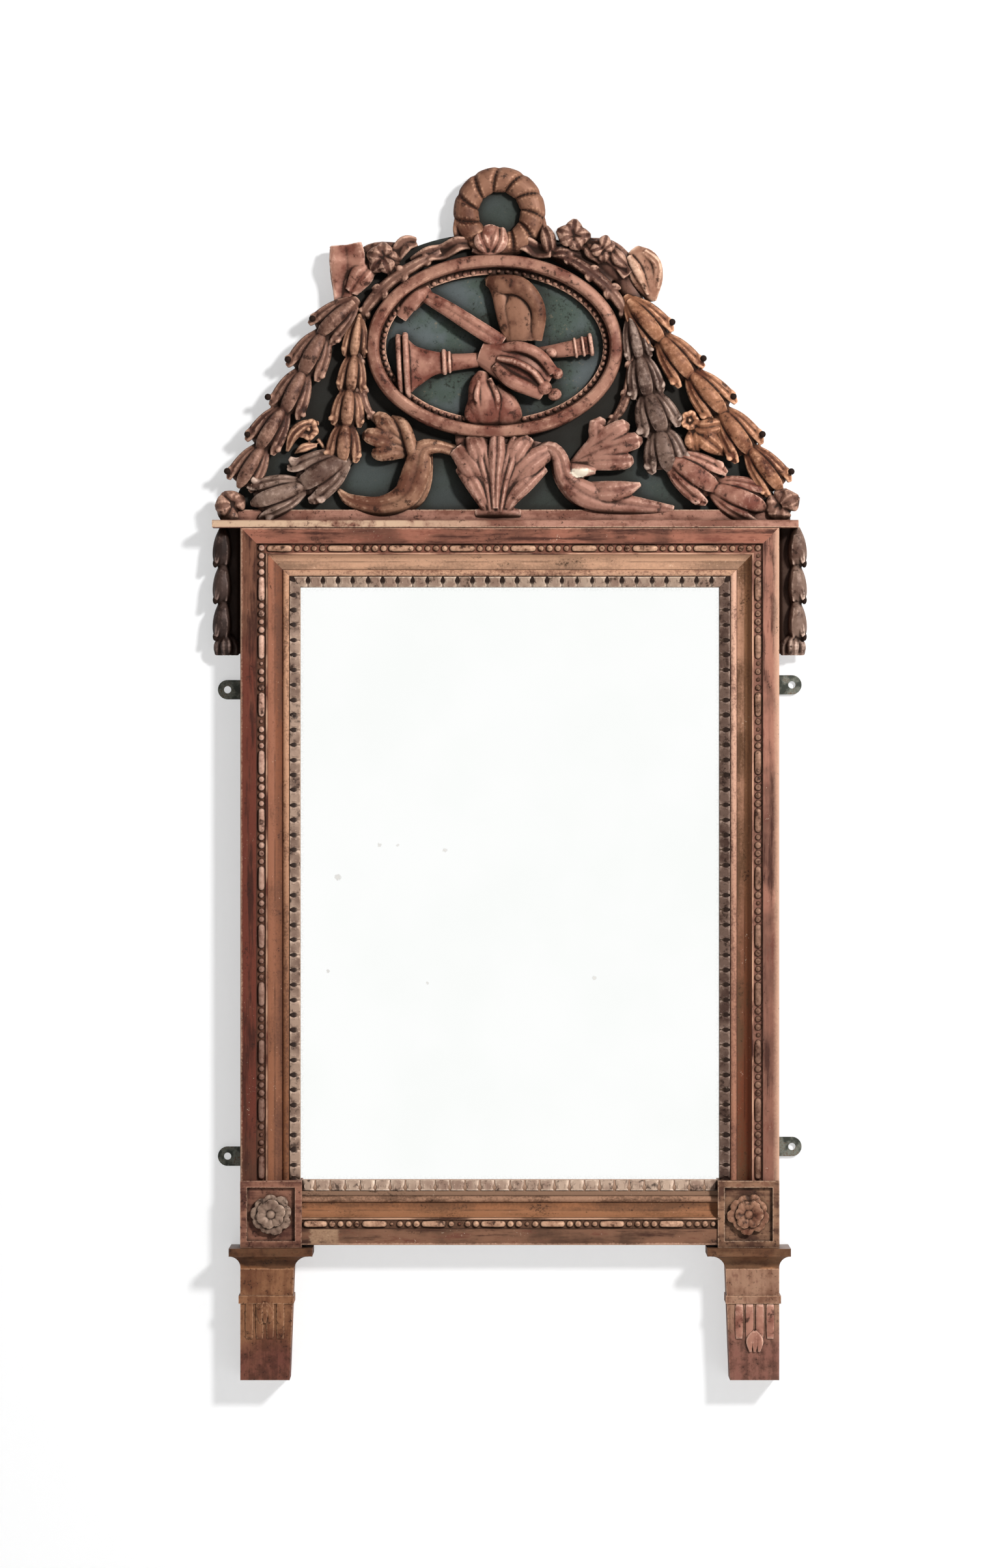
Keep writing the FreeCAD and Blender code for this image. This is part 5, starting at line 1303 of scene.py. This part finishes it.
def member_finish(name, across, grain, band, cove, roll, slope, inner_cove, lower=None, repair=None,
                  redder=None, edge_wear_and_highlight=2.6, eye_shade=DIRT_AND_SHADE):
    """Worn gilding of a moulding; across gives the distance from the outer edge in mm.

    lower holds the colours of band, cove and roll at the bottom, repair is (start, end, colour) of a filled
    place, and redder is the range of heights where red bole shows through the band.
    """
    finish = Finish(name)
    edge = across(finish)
    patches = finish.noise(26.0, 4.0)
    blots = finish.noise(95.0, 5.0, 0.65, stretch=tuple(0.35 if share < 1 else 1.0 for share in grain))
    flecks = finish.noise(520.0, 4.0, 0.65)
    streaks = finish.noise(190.0, 4.0, 0.6, stretch=grain)
    wear = patches * 0.45 + streaks * 0.3 + blots * 0.25
    worn = wear.between(0.42, 0.58)
    dark_band = shaded(band, 0.4)
    shaded_channel = shaded(band, 0.62)
    dark_cove = shaded(cove, 0.42)
    cove = finish.mix(edge.between(*COVE_TURN), cove, inner_cove)
    if lower is not None:
        lowered = (finish.z + patches * 90.0 - 45.0).between(*FALL)
        low_band, low_cove, low_roll = lower
        band = finish.mix(lowered, band, low_band)
        cove = finish.mix(lowered, cove, low_cove)
        roll = finish.mix(lowered, roll, low_roll)

    # The band outside
    colour = finish.mix(worn, dark_band, band)
    if redder is not None:
        red_range = (finish.z + patches * 40.0).inside(*redder, 30.0)
        colour = finish.mix(red_range * streaks.between(0.2, 0.5) * 0.8, colour, RED_BOLE)
    colour = finish.mix((blots * 0.6 + streaks * 0.4).between(0.54, 0.64) * 0.6, colour, MAROON)
    sooty = (streaks * 0.65 + blots * 0.35).between(0.49, 0.37)
    colour = finish.mix(sooty * 0.75, colour, SOOT)
    # The rubbed outer edge is worn gilding, and on the right stile, where it is wider, partly a painted
    # highlight of the light from the right.
    rubbed_and_lit_edge = (edge + flecks * 3.0 - patches * 2.0).between(edge_wear_and_highlight, 0.6)
    colour = finish.mix(rubbed_and_lit_edge * finish.y.between(-26.0, -29.0) * 0.8, colour, RUBBED_AND_LIT_EDGE)
    if repair is not None:
        start, end, filler = repair
        filled = (finish.x + flecks * 6.0).inside(start, end, 2.0)
        colour = finish.mix(filled * (blots + flecks * 0.5).between(0.55, 0.9), colour, filler)

    # Channel, lip, cove, roll and slope
    # Painted shade: the channel behind the beads is darkened like the shadow that falls between them.
    channel = finish.mix(flecks.between(0.3, 0.6), dark_band, shaded_channel)
    colour = finish.mix(edge.inside(*CHANNEL, 0.3), colour, channel)
    colour = finish.mix(edge.inside(*LIP, 0.3) * worn * 0.8, colour, BRIGHT_LIP)
    cove_wear = (wear + flecks * 0.25 + edge.between(34.0, 24.0) * 0.12).between(0.54, 0.78)
    colour = finish.mix(edge.inside(*COVE, 0.25), colour, finish.mix(cove_wear, dark_cove, cove))
    cove_line = edge.inside(*COVE_LINE, 0.6) * blots.between(0.4, 0.6)
    colour = finish.mix(cove_line * 0.55, colour, DIRT_AND_SHADE)
    roll_wear = (blots * 0.6 + flecks * 0.4).between(0.56, 0.42)
    colour = finish.mix(edge.inside(*ROLL, 0.2), colour, finish.mix(roll_wear * 0.7, roll, dark_band))
    # Painted shade: the drilled eyes between the leaf tips are a dark colour painted on the slope.
    colour = finish.mix(edge.between(*SLOPE_START), colour, finish.mix(edge.between(*EYES_END), eye_shade, slope))

    # Dirt and chips over all of them, with dirt and painted shade in the creases between zones
    seams = edge.inside(*SEAMS[0])
    for seam in SEAMS[1:]:
        seams = seams.highest(edge.inside(*seam))
    colour = finish.mix(seams * 0.8, colour, DIRT_AND_SHADE)
    stains = (blots * 0.5 + flecks * 0.5).between(0.43, 0.34)
    colour = finish.mix(stains * 0.75, colour, DIRT_AND_SHADE)
    chips = (flecks * 0.7 + blots * 0.4).between(0.68, 0.76)
    colour = finish.mix(chips * 0.55, colour, GESSO)
    side = finish.y.between(-26.0, -4.0) * edge.between(0.6, 0.1)
    colour = finish.mix(side * 0.6, colour, SIDE_DIRT)
    gilded_wood(finish, colour, flecks, streaks, blots)
    return finish


print("zoned finish ready, with", len(SEAMS), "dirty seams")


# %% Stiles and rails
def from_side(finish):
    return OUTER_X - abs(finish.x)


def from_top(finish):
    return RAIL_TOP - finish.z


def from_base(finish):
    return finish.z - RAIL_BASE


dress("left_stile", member_finish(
    "left_stile_gilding", from_side, UPRIGHT, band=tint(114, 74, 56), cove=tint(146, 96, 74),
    roll=tint(186, 140, 110), slope=tint(152, 126, 108), inner_cove=tint(126, 76, 52),
    lower=(tint(92, 52, 38), tint(132, 86, 62), tint(120, 76, 50)), redder=(-190.0, 215.0)))
# The right stile's darker slope is painted shade, as its inner slope faces away from the light; its wider
# rubbed edge is partly painted highlight.
dress("right_stile", member_finish(
    "right_stile_gilding", from_side, UPRIGHT, band=tint(160, 110, 92), cove=tint(136, 96, 68),
    roll=tint(206, 162, 138), slope=tint(108, 86, 70), inner_cove=tint(172, 128, 102),
    lower=(tint(134, 90, 74), tint(104, 52, 32), tint(156, 108, 86)), edge_wear_and_highlight=6.5))
dress("top_rail", member_finish(
    "top_rail_gilding", from_top, LEVEL, band=tint(150, 96, 77), cove=tint(204, 160, 130),
    roll=tint(190, 148, 120), slope=tint(152, 132, 116), inner_cove=tint(196, 153, 124)))
dress("bottom_rail", member_finish(
    "bottom_rail_gilding", from_base, LEVEL, band=tint(122, 86, 66), cove=tint(152, 104, 73),
    roll=tint(156, 118, 94), slope=tint(158, 126, 105), inner_cove=tint(148, 98, 66),
    repair=(-161.0, -138.0, tint(156, 124, 98)), eye_shade=tint(130, 100, 80)))
print("stiles and rails dressed")

# %% [markdown]
# ## Blocks, caps, feet and ledge
# These have no zones, only worn gilding with rubbed edges, and painted shade in their corners. Edge wear
# could be painted by hand; the Bevel node finds the edges of the construction meshes by itself, so the wear
# follows any change of shape.

# %% Gilding without zones
EDGE_RADIUS = 1.6 * MM
CORNER_REACH = 10 * MM


def wood_finish(name, low_colour, high_colour, grain, worn_edge, z_dark=None, line=None):
    """Worn gilding without zones for a block, a cap, a foot or the ledge.

    z_dark is (start, end, colour) of a part that darkens downwards or upwards. line is (low, high, colour,
    start, end) of a pale line, partly worn gilding and partly a painted highlight along a fillet, the last
    two for the x at which it sets in and is full.
    """
    finish = Finish(name)
    patches = finish.noise(40.0, 4.0)
    blots = finish.noise(120.0, 5.0, 0.65)
    flecks = finish.noise(480.0, 4.0, 0.65)
    streaks = finish.noise(190.0, 4.0, 0.6, stretch=grain)
    wear = (patches * 0.45 + streaks * 0.3 + blots * 0.25).between(0.42, 0.58)
    colour = finish.mix(wear, low_colour, high_colour)
    colour = finish.mix((blots * 0.6 + streaks * 0.4).between(0.54, 0.64) * 0.5, colour, MAROON)
    edges = finish.node("ShaderNodeBevel", {"samples": 6}, {"Radius": EDGE_RADIUS})
    normal = finish.node("ShaderNodeNewGeometry", output="Normal")
    sides = {0: edges, 1: normal}
    bend = finish.node("ShaderNodeVectorMath", {"operation": "DOT_PRODUCT"}, sides, output="Value")
    colour = finish.mix(bend.between(0.995, 0.9) * flecks.between(0.35, 0.6) * 0.8, colour, worn_edge)
    if z_dark is not None:
        start, end, dark = z_dark
        spots = (blots * 0.6 + streaks * 0.4).between(0.42, 0.58)
        mottled = finish.mix(spots, shaded(dark, 0.5), shaded(dark, 1.15))
        colour = finish.mix((finish.z + patches * 20.0).between(start, end) * 0.8, colour, mottled)
    if line is not None:
        # The pale line is partly worn gilding and partly a painted highlight on the ledge's fillet, which
        # catches the light from above.
        start, end, pale, fade_from, fade_to = line
        left = finish.z.inside(start, end, 0.5) * (patches + blots).between(0.7, 1.05)
        colour = finish.mix(left * finish.x.between(fade_from, fade_to), colour, pale)
    chips = (flecks * 0.8 + patches * 0.3).between(0.76, 0.82)
    colour = finish.mix(chips * 0.5, colour, GESSO)
    stains = (blots * 0.5 + flecks * 0.5).between(0.43, 0.34)
    # Dirt and painted shade: stains, and corners that other surfaces close in, darken as in shadow.
    corners = finish.crevice(CORNER_REACH).between(0.7, 0.4)
    colour = finish.mix(stains.highest(corners) * 0.8, colour, DIRT_AND_SHADE)
    gilded_wood(finish, colour, flecks, streaks, blots)
    return finish


dress("left_corner_block", wood_finish(
    "left_block_gilding", tint(80, 47, 38), tint(142, 98, 79), LEVEL, tint(188, 150, 126)))
dress("right_corner_block", wood_finish(
    "right_block_gilding", tint(78, 50, 38), tint(142, 106, 82), LEVEL, tint(196, 164, 138)))
CAP_EDGE = tint(168, 122, 90)
CAP_SHADE = (-308.0, -304.0, tint(58, 30, 17))
dress("left_foot_cap", wood_finish(
    "left_cap_gilding", tint(118, 76, 49), tint(166, 120, 84), LEVEL, CAP_EDGE, CAP_SHADE))
# Painted light: the right cap is coloured lighter so that its moulding under the slab, which lies in shadow,
# looks lit.
dress("right_foot_cap", wood_finish(
    "right_cap_gilding", tint(150, 100, 68), tint(204, 152, 112), LEVEL, CAP_EDGE, CAP_SHADE))
left_foot_gilding = wood_finish(
    "left_foot_gilding", tint(98, 60, 40), tint(134, 92, 64), UPRIGHT, tint(186, 144, 112),
    (-352.0, -384.0, tint(96, 54, 46)))
right_foot_gilding = wood_finish(
    "right_foot_gilding", tint(112, 76, 58), tint(150, 114, 92), UPRIGHT, tint(200, 158, 128),
    (-334.0, -372.0, tint(116, 74, 64)))
dress("left_foot", left_foot_gilding)
dress("right_foot", right_foot_gilding)
dress("cornice_ledge", wood_finish(
    "ledge_gilding", tint(118, 76, 62), tint(168, 122, 104), LEVEL, tint(214, 186, 158),
    line=(293.4, 298.6, tint(198, 166, 138), 20.0, -110.0)))
print("blocks, caps, feet and ledge dressed")

# %% [markdown]
# ## Foot carving
# Tongues fill the flutes of each foot, and a small husk lies over or under them. They could be cut into the
# foot with a boolean, but the construction foot stays whole, so they are laid into its flutes. The left
# foot is the more worn of the two, and its flutes are filled nearly flush.

# %% Tongues and husks
FLUTES = 4
FLUTE_PITCH = 8.5 * MM
FLUTE_MIDDLE = 201.25 * MM / PIXEL
TONGUE_ROWS = (2016, 2040, 2056)


def foot_carving(side, middle_column, tongue_row, drop_row, proud, finish, seed):
    """Tongues that fill the flutes, proud by so many mm, and a small husk that starts at drop_row."""
    chance = random.Random(seed)
    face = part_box(side + "_foot")[0].y

    def place(column, row, up):
        flat = spot(column, row, 0)
        return [flat[0], face - up * MM, flat[2]]

    skins = []
    upper, middle, lower = TONGUE_ROWS
    for index in range(FLUTES):
        column = middle_column + (index - (FLUTES - 1) / 2) * FLUTE_PITCH / PIXEL
        skins.append(sweep([
            [*place(column, tongue_row, proud - 1.1), 3.1 * MM, 0.8 * MM],
            [*place(column, upper, proud - 0.8), 3.4 * MM, 0.8 * MM],
            [*place(column + chance.uniform(-0.5, 0.5), middle, proud - 0.9), 3.3 * MM, 0.8 * MM],
            [*place(column, lower, proud - 1.2), 2.8 * MM, 0.6 * MM],
        ], PLAIN_LEAF, 12))
    for turn in (-0.6, 0.0, 0.6):
        skins.append(sweep([
            [*place(middle_column, drop_row, 0.2), 1.5 * MM, 1.0 * MM],
            [*place(middle_column + turn * 13, drop_row + 14, 0.6), 3.0 * MM, 1.2 * MM],
            [*place(middle_column + turn * 11, drop_row + 32, 0.1), 1.0 * MM, 0.6 * MM],
        ], LEAF, 10))
    set_out(side + "_foot_carving", skins, finish, SMALL_BULGE)


foot_carving("left", ORIGIN_COLUMN - FLUTE_MIDDLE, 1992, 2000, 0.06, left_foot_gilding, 91)
foot_carving("right", ORIGIN_COLUMN + FLUTE_MIDDLE, 2003, 2044, 0.5, ROSY, 92)

# %% [markdown]
# ## The painted board
# The board behind the carvings is painted grey-green. Round the carvings it is darkened with soot and painted
# shade, and it is cleaner inside the medallion, so the finish works out an oval there. Its edges are brown,
# and its back is bare wood.

# %% Painted board
BOARD_FACE = (-11.8, -11.0)
MEDALLION_HALF = (100, 70)
BOARD_CREVICE = 36 * MM
BOARD_GRAIN = 0.3 * MM
board = Finish("painted_board")
patches = board.noise(24.0, 4.0)
flecks = board.noise(300.0, 4.0, 0.65)
colour = board.mix(patches.between(0.4, 0.6), tint(74, 86, 78), tint(94, 102, 103))
colour = board.mix((patches * 0.4 + flecks * 0.6).between(0.46, 0.36), colour, tint(44, 48, 42))
colour = board.mix(flecks.between(0.62, 0.7) * 0.6, colour, tint(132, 120, 100))
colour = board.mix(board.y.between(*BOARD_FACE) * 0.7, colour, tint(70, 46, 34))
# Soot and painted shade: outside the medallion's oval, and most of all at the heights between the lower pools
# and the ring, the board is darkened as where the carvings shadow it.
outside = board.spread_from(RIM_MIDDLE, *MEDALLION_HALF).between(0.95, 1.05)
colour = board.mix(outside * 0.75, colour, tint(58, 63, 60))
pool_top = float(spot(0, 690, 0)[2] / MM)
ring_low = float(spot(0, 372, 0)[2] / MM)
sooty = outside * board.z.inside(pool_top, ring_low, 9.0)
colour = board.mix(sooty * 0.8, colour, tint(28, 24, 20))
# Painted shade: crevices that the carvings close in darken nearly to black.
board_crevice_shade = board.crevice(BOARD_CREVICE).between(0.82, 0.5)
colour = board.mix(board_crevice_shade * 0.85, colour, tint(30, 26, 22))
grain = board.noise(120.0, 5.0, 0.6, stretch=LEVEL)
bare = board.mix(grain.between(0.4, 0.62), tint(136, 100, 68), tint(84, 58, 38))
colour = board.mix(board.back(), colour, bare)
board.set(base_color=colour, roughness=0.72 + flecks * 0.15)
board.bump(flecks, BOARD_GRAIN, 0.5)
dress("crest_board", board)
print("sooty from", round(pool_top), "to", round(ring_low), "mm")

# %% [markdown]
# ## The glass
# Old silvering is a mirror with a few fox marks and a dull edge. A clear pane over a silver layer could be
# built, but at this size the two show as one, so the pane is a polished metal in front and a grey coat
# behind.

# %% Silvered glass
FOX_MARKS = ((518, 1348, 3.0), (582, 1298, 2.0), (610, 1298, 1.6), (683, 1306, 2.2), (503, 1493, 1.8),
             (656, 1511, 1.6), (913, 1503, 2.0))
DULL_SIDE, DULL_END = (168.0, 173.0), (239.0, 245.0)
glass = Finish("foxed_silvering")
wobble = glass.noise(700.0, 3.0)
cloud = glass.noise(9.0, 3.0)
marks = None
for column, row, size in FOX_MARKS:
    gap = glass.spread_from(spot(column, row, 0), 1.0, 1.0).root()
    mark = (gap + wobble * 3.0).between(size + 1.5, size + 0.2)
    marks = mark if marks is None else marks.highest(mark)
rim = abs(glass.x).between(*DULL_SIDE).highest(abs(glass.z).between(*DULL_END))
back = glass.back()
colour = glass.mix(cloud.between(0.35, 0.7), tint(253, 254, 253), tint(250, 252, 250))
colour = glass.mix(rim * wobble.between(0.4, 0.65) * 0.15, colour, tint(150, 150, 140))
colour = glass.mix(marks * 0.45, colour, tint(132, 120, 104))
colour = glass.mix(back, colour, tint(92, 88, 84))
glass.set(base_color=colour, metallic=1.0 - back, roughness=0.02 + marks * 0.4 + back * 0.5)
dress("mirror_glass", glass)
print("fox marks:", len(FOX_MARKS))

# %% [markdown]
# ## Iron and pine
# The lugs and screws are iron with a grey-green bloom and rust in spots, and the back is plain old pine.
# Both are noise on a plain colour; the pine's noise is drawn out along the grain.

# %% Iron
IRON_PIECES = ("upper_left_lug", "lower_left_lug", "upper_right_lug", "lower_right_lug", "lug_screws",
               "crest_screws", "backboard_nails")
IRON_GRAIN = 0.12 * MM
iron = Finish("aged_iron")
patches = iron.noise(130.0, 4.0)
flecks = iron.noise(900.0, 3.0)
colour = iron.mix(patches.between(0.4, 0.62), tint(58, 60, 54), tint(112, 114, 104))
colour = iron.mix((flecks * 0.6 + patches * 0.4).between(0.54, 0.64) * 0.7, colour, tint(96, 62, 42))
iron.set(base_color=colour, metallic=0.55 - patches.between(0.4, 0.6) * 0.3, roughness=0.45 + flecks * 0.3)
iron.bump(flecks, IRON_GRAIN, 0.6)
for name in IRON_PIECES:
    dress(name, iron)
print("iron nodes:", len(IRON_PIECES))

# %% Pine
PINE_GRAIN = 0.3 * MM


def pine_finish(name, grain, seed):
    """Bare old pine with grain along one axis."""
    finish = Finish(name)
    finish.shift(seed)
    rings = finish.noise(120.0, 5.0, 0.6, stretch=grain)
    fibres = finish.noise(420.0, 3.0, 0.6, stretch=grain)
    stains = finish.noise(7.0, 3.0)
    colour = finish.mix(rings.between(0.4, 0.62), tint(166, 126, 84), tint(120, 80, 48))
    colour = finish.mix(fibres.between(0.5, 0.7) * 0.5, colour, tint(92, 60, 36))
    colour = finish.mix(stains.between(0.5, 0.7) * 0.6, colour, tint(84, 62, 46))
    finish.set(base_color=colour, roughness=0.7 + fibres * 0.2)
    finish.bump(rings * 0.4 + fibres * 0.6, PINE_GRAIN, 0.6)
    return finish


boards = pine_finish("backboard_pine", LEVEL, 0.0)
small_pine = pine_finish("block_pine", UPRIGHT, 2.0)
dress("upper_backboard", boards)
dress("lower_backboard", boards)
for name in ("glass_blocks", "foot_dowels", "mitre_keys"):
    dress(name, small_pine)
print("pine nodes dressed with", boards.material.name, "and", small_pine.material.name)

# %% [markdown]
# ## Stage
# The mirror hangs on a white wall over a pale floor. More light would make them white but bleach the
# gilding, so their paint is mixed with white emission that only camera, glossy and transmission rays see,
# and the shadow stays. The wall is clear from behind, so the back of the mirror can be looked at too.

# %% Wall and floor
PLASTER = (0.98, 0.98, 0.98, 1.0)
DIRECT_RAYS = ("Is Camera Ray", "Is Glossy Ray", "Is Transmission Ray")


def seen_directly(tree):
    """1 on camera, glossy and transmission rays."""
    camera_ray, glossy, transmission = (tree.node("ShaderNodeLightPath", output=ray) for ray in DIRECT_RAYS)
    return camera_ray.highest(glossy).highest(transmission)


def stage_plane(name, corners, lift, see_through):
    """A white plane; lift is the share of emission that direct rays see, and see_through clears its back."""
    mesh = bpy.data.meshes.new(name)
    mesh.from_pydata(corners, [], [(0, 1, 2, 3)])
    plane = bpy.data.objects.new(name, mesh)
    bpy.context.scene.collection.objects.link(plane)
    finish = Finish(name + "_paint")
    finish.set(base_color=PLASTER, roughness=0.9)
    paint = Mark(finish, finish.shader.outputs[0])
    glow = finish.node("ShaderNodeEmission", {}, {"Color": WHITE})
    surface = finish.node("ShaderNodeMixShader", {}, {0: seen_directly(finish) * lift, 1: paint, 2: glow})
    if see_through:
        behind = finish.node("ShaderNodeNewGeometry", output="Backfacing")
        clear = finish.node("ShaderNodeBsdfTransparent")
        surface = finish.node("ShaderNodeMixShader", {}, {0: behind, 1: surface, 2: clear})
        plane.visible_shadow = False
        plane.visible_diffuse = False
    finish.join(surface, finish.tree.nodes["Material Output"].inputs["Surface"])
    mesh.materials.append(finish.material)


FLOOR = -0.75
FLOOR_HALF, FLOOR_FRONT, FLOOR_BACK = 8, -5, 8
FLOOR_LIFT = 0.55
WALL_BACK = 0.8 * MM
WALL_HALF, WALL_TOP = 4, 4
WALL_LIFT = 0.5
wall_corners = [(-WALL_HALF, WALL_BACK, FLOOR), (WALL_HALF, WALL_BACK, FLOOR),
                (WALL_HALF, WALL_BACK, WALL_TOP), (-WALL_HALF, WALL_BACK, WALL_TOP)]
floor_corners = [(-FLOOR_HALF, FLOOR_FRONT, FLOOR), (FLOOR_HALF, FLOOR_FRONT, FLOOR),
                 (FLOOR_HALF, FLOOR_BACK, FLOOR), (-FLOOR_HALF, FLOOR_BACK, FLOOR)]
stage_plane("wall", wall_corners, WALL_LIFT, True)
stage_plane("floor", floor_corners, FLOOR_LIFT, False)
print("floor at", FLOOR, "m")

# %% [markdown]
# ## Light
# In the photograph one lamp at the upper right gives the carvings their shadows, and the white room fills
# them a little. A small area lamp far off keeps those shadows firm, a weak lamp behind shows the back, and
# the world is dim for the object but white to the eye.


# %% Lamps
def lamp(name, place, target, size, power):
    """A square lamp that looks at a target."""
    data = bpy.data.lights.new(name, "AREA")
    data.shape = "SQUARE"
    data.size = size
    data.energy = power
    holder = bpy.data.objects.new(name, data)
    bpy.context.scene.collection.objects.link(holder)
    holder.location = place
    direction = np.asarray(target) - np.asarray(place)
    holder.rotation_euler = Vector(direction).to_track_quat("-Z", "Y").to_euler()


KEY_DIRECTION = unit(np.array((21.0, -33.0, 17.0)))
KEY_DISTANCE = 3.2
KEY_SIZE, KEY_POWER = 0.35, 112.0
REAR_PLACE = (0.4, 3.2, 1.2)
REAR_SIZE, REAR_POWER = 1.5, 40.0
TARGET = np.array((0.0, 0.0, 0.09))
lamp("key_light", TARGET + KEY_DIRECTION * KEY_DISTANCE, TARGET, KEY_SIZE, KEY_POWER)
lamp("rear_light", REAR_PLACE, TARGET, REAR_SIZE, REAR_POWER)
print("lamps:", len(bpy.data.lights))

# %% World
AMBIENT = 0.16
world = bpy.data.worlds.new("studio")
bpy.context.scene.world = world
world.use_nodes = True
studio = NodeTree(world.node_tree)
sky = studio.tree.nodes["Background"]
sky.inputs["Color"].default_value = WHITE
studio.join(seen_directly(studio) * (1.0 - AMBIENT) + AMBIENT, sky.inputs["Strength"])
print("light of the room:", AMBIENT)

# %% [markdown]
# ## Camera
# The photograph was taken from far away and square to the wall. An orthographic camera would lose the
# little perspective that shows on the crest, so the camera stands well back with a long lens, at the height
# of the picture's middle.

# %% Camera and finish
IMAGE_WIDTH, IMAGE_HEIGHT = 1539, 2408
CAMERA_DISTANCE = 4.5
FRAME_FRONT = 34 * MM
SENSOR = 36.0
camera_data = bpy.data.cameras.new("camera")
camera_data.sensor_fit = "VERTICAL"
camera_data.sensor_height = SENSOR
camera_data.lens = SENSOR * (CAMERA_DISTANCE - FRAME_FRONT) / (IMAGE_HEIGHT * PIXEL)
camera = bpy.data.objects.new("camera", camera_data)
bpy.context.scene.collection.objects.link(camera)
middle = spot(IMAGE_WIDTH / 2, IMAGE_HEIGHT / 2, 0)
camera.location = (middle[0], -CAMERA_DISTANCE, middle[2])
camera.rotation_euler = (math.pi / 2, 0.0, 0.0)
bpy.context.scene.camera = camera
bpy.context.scene.view_settings.view_transform = "Standard"
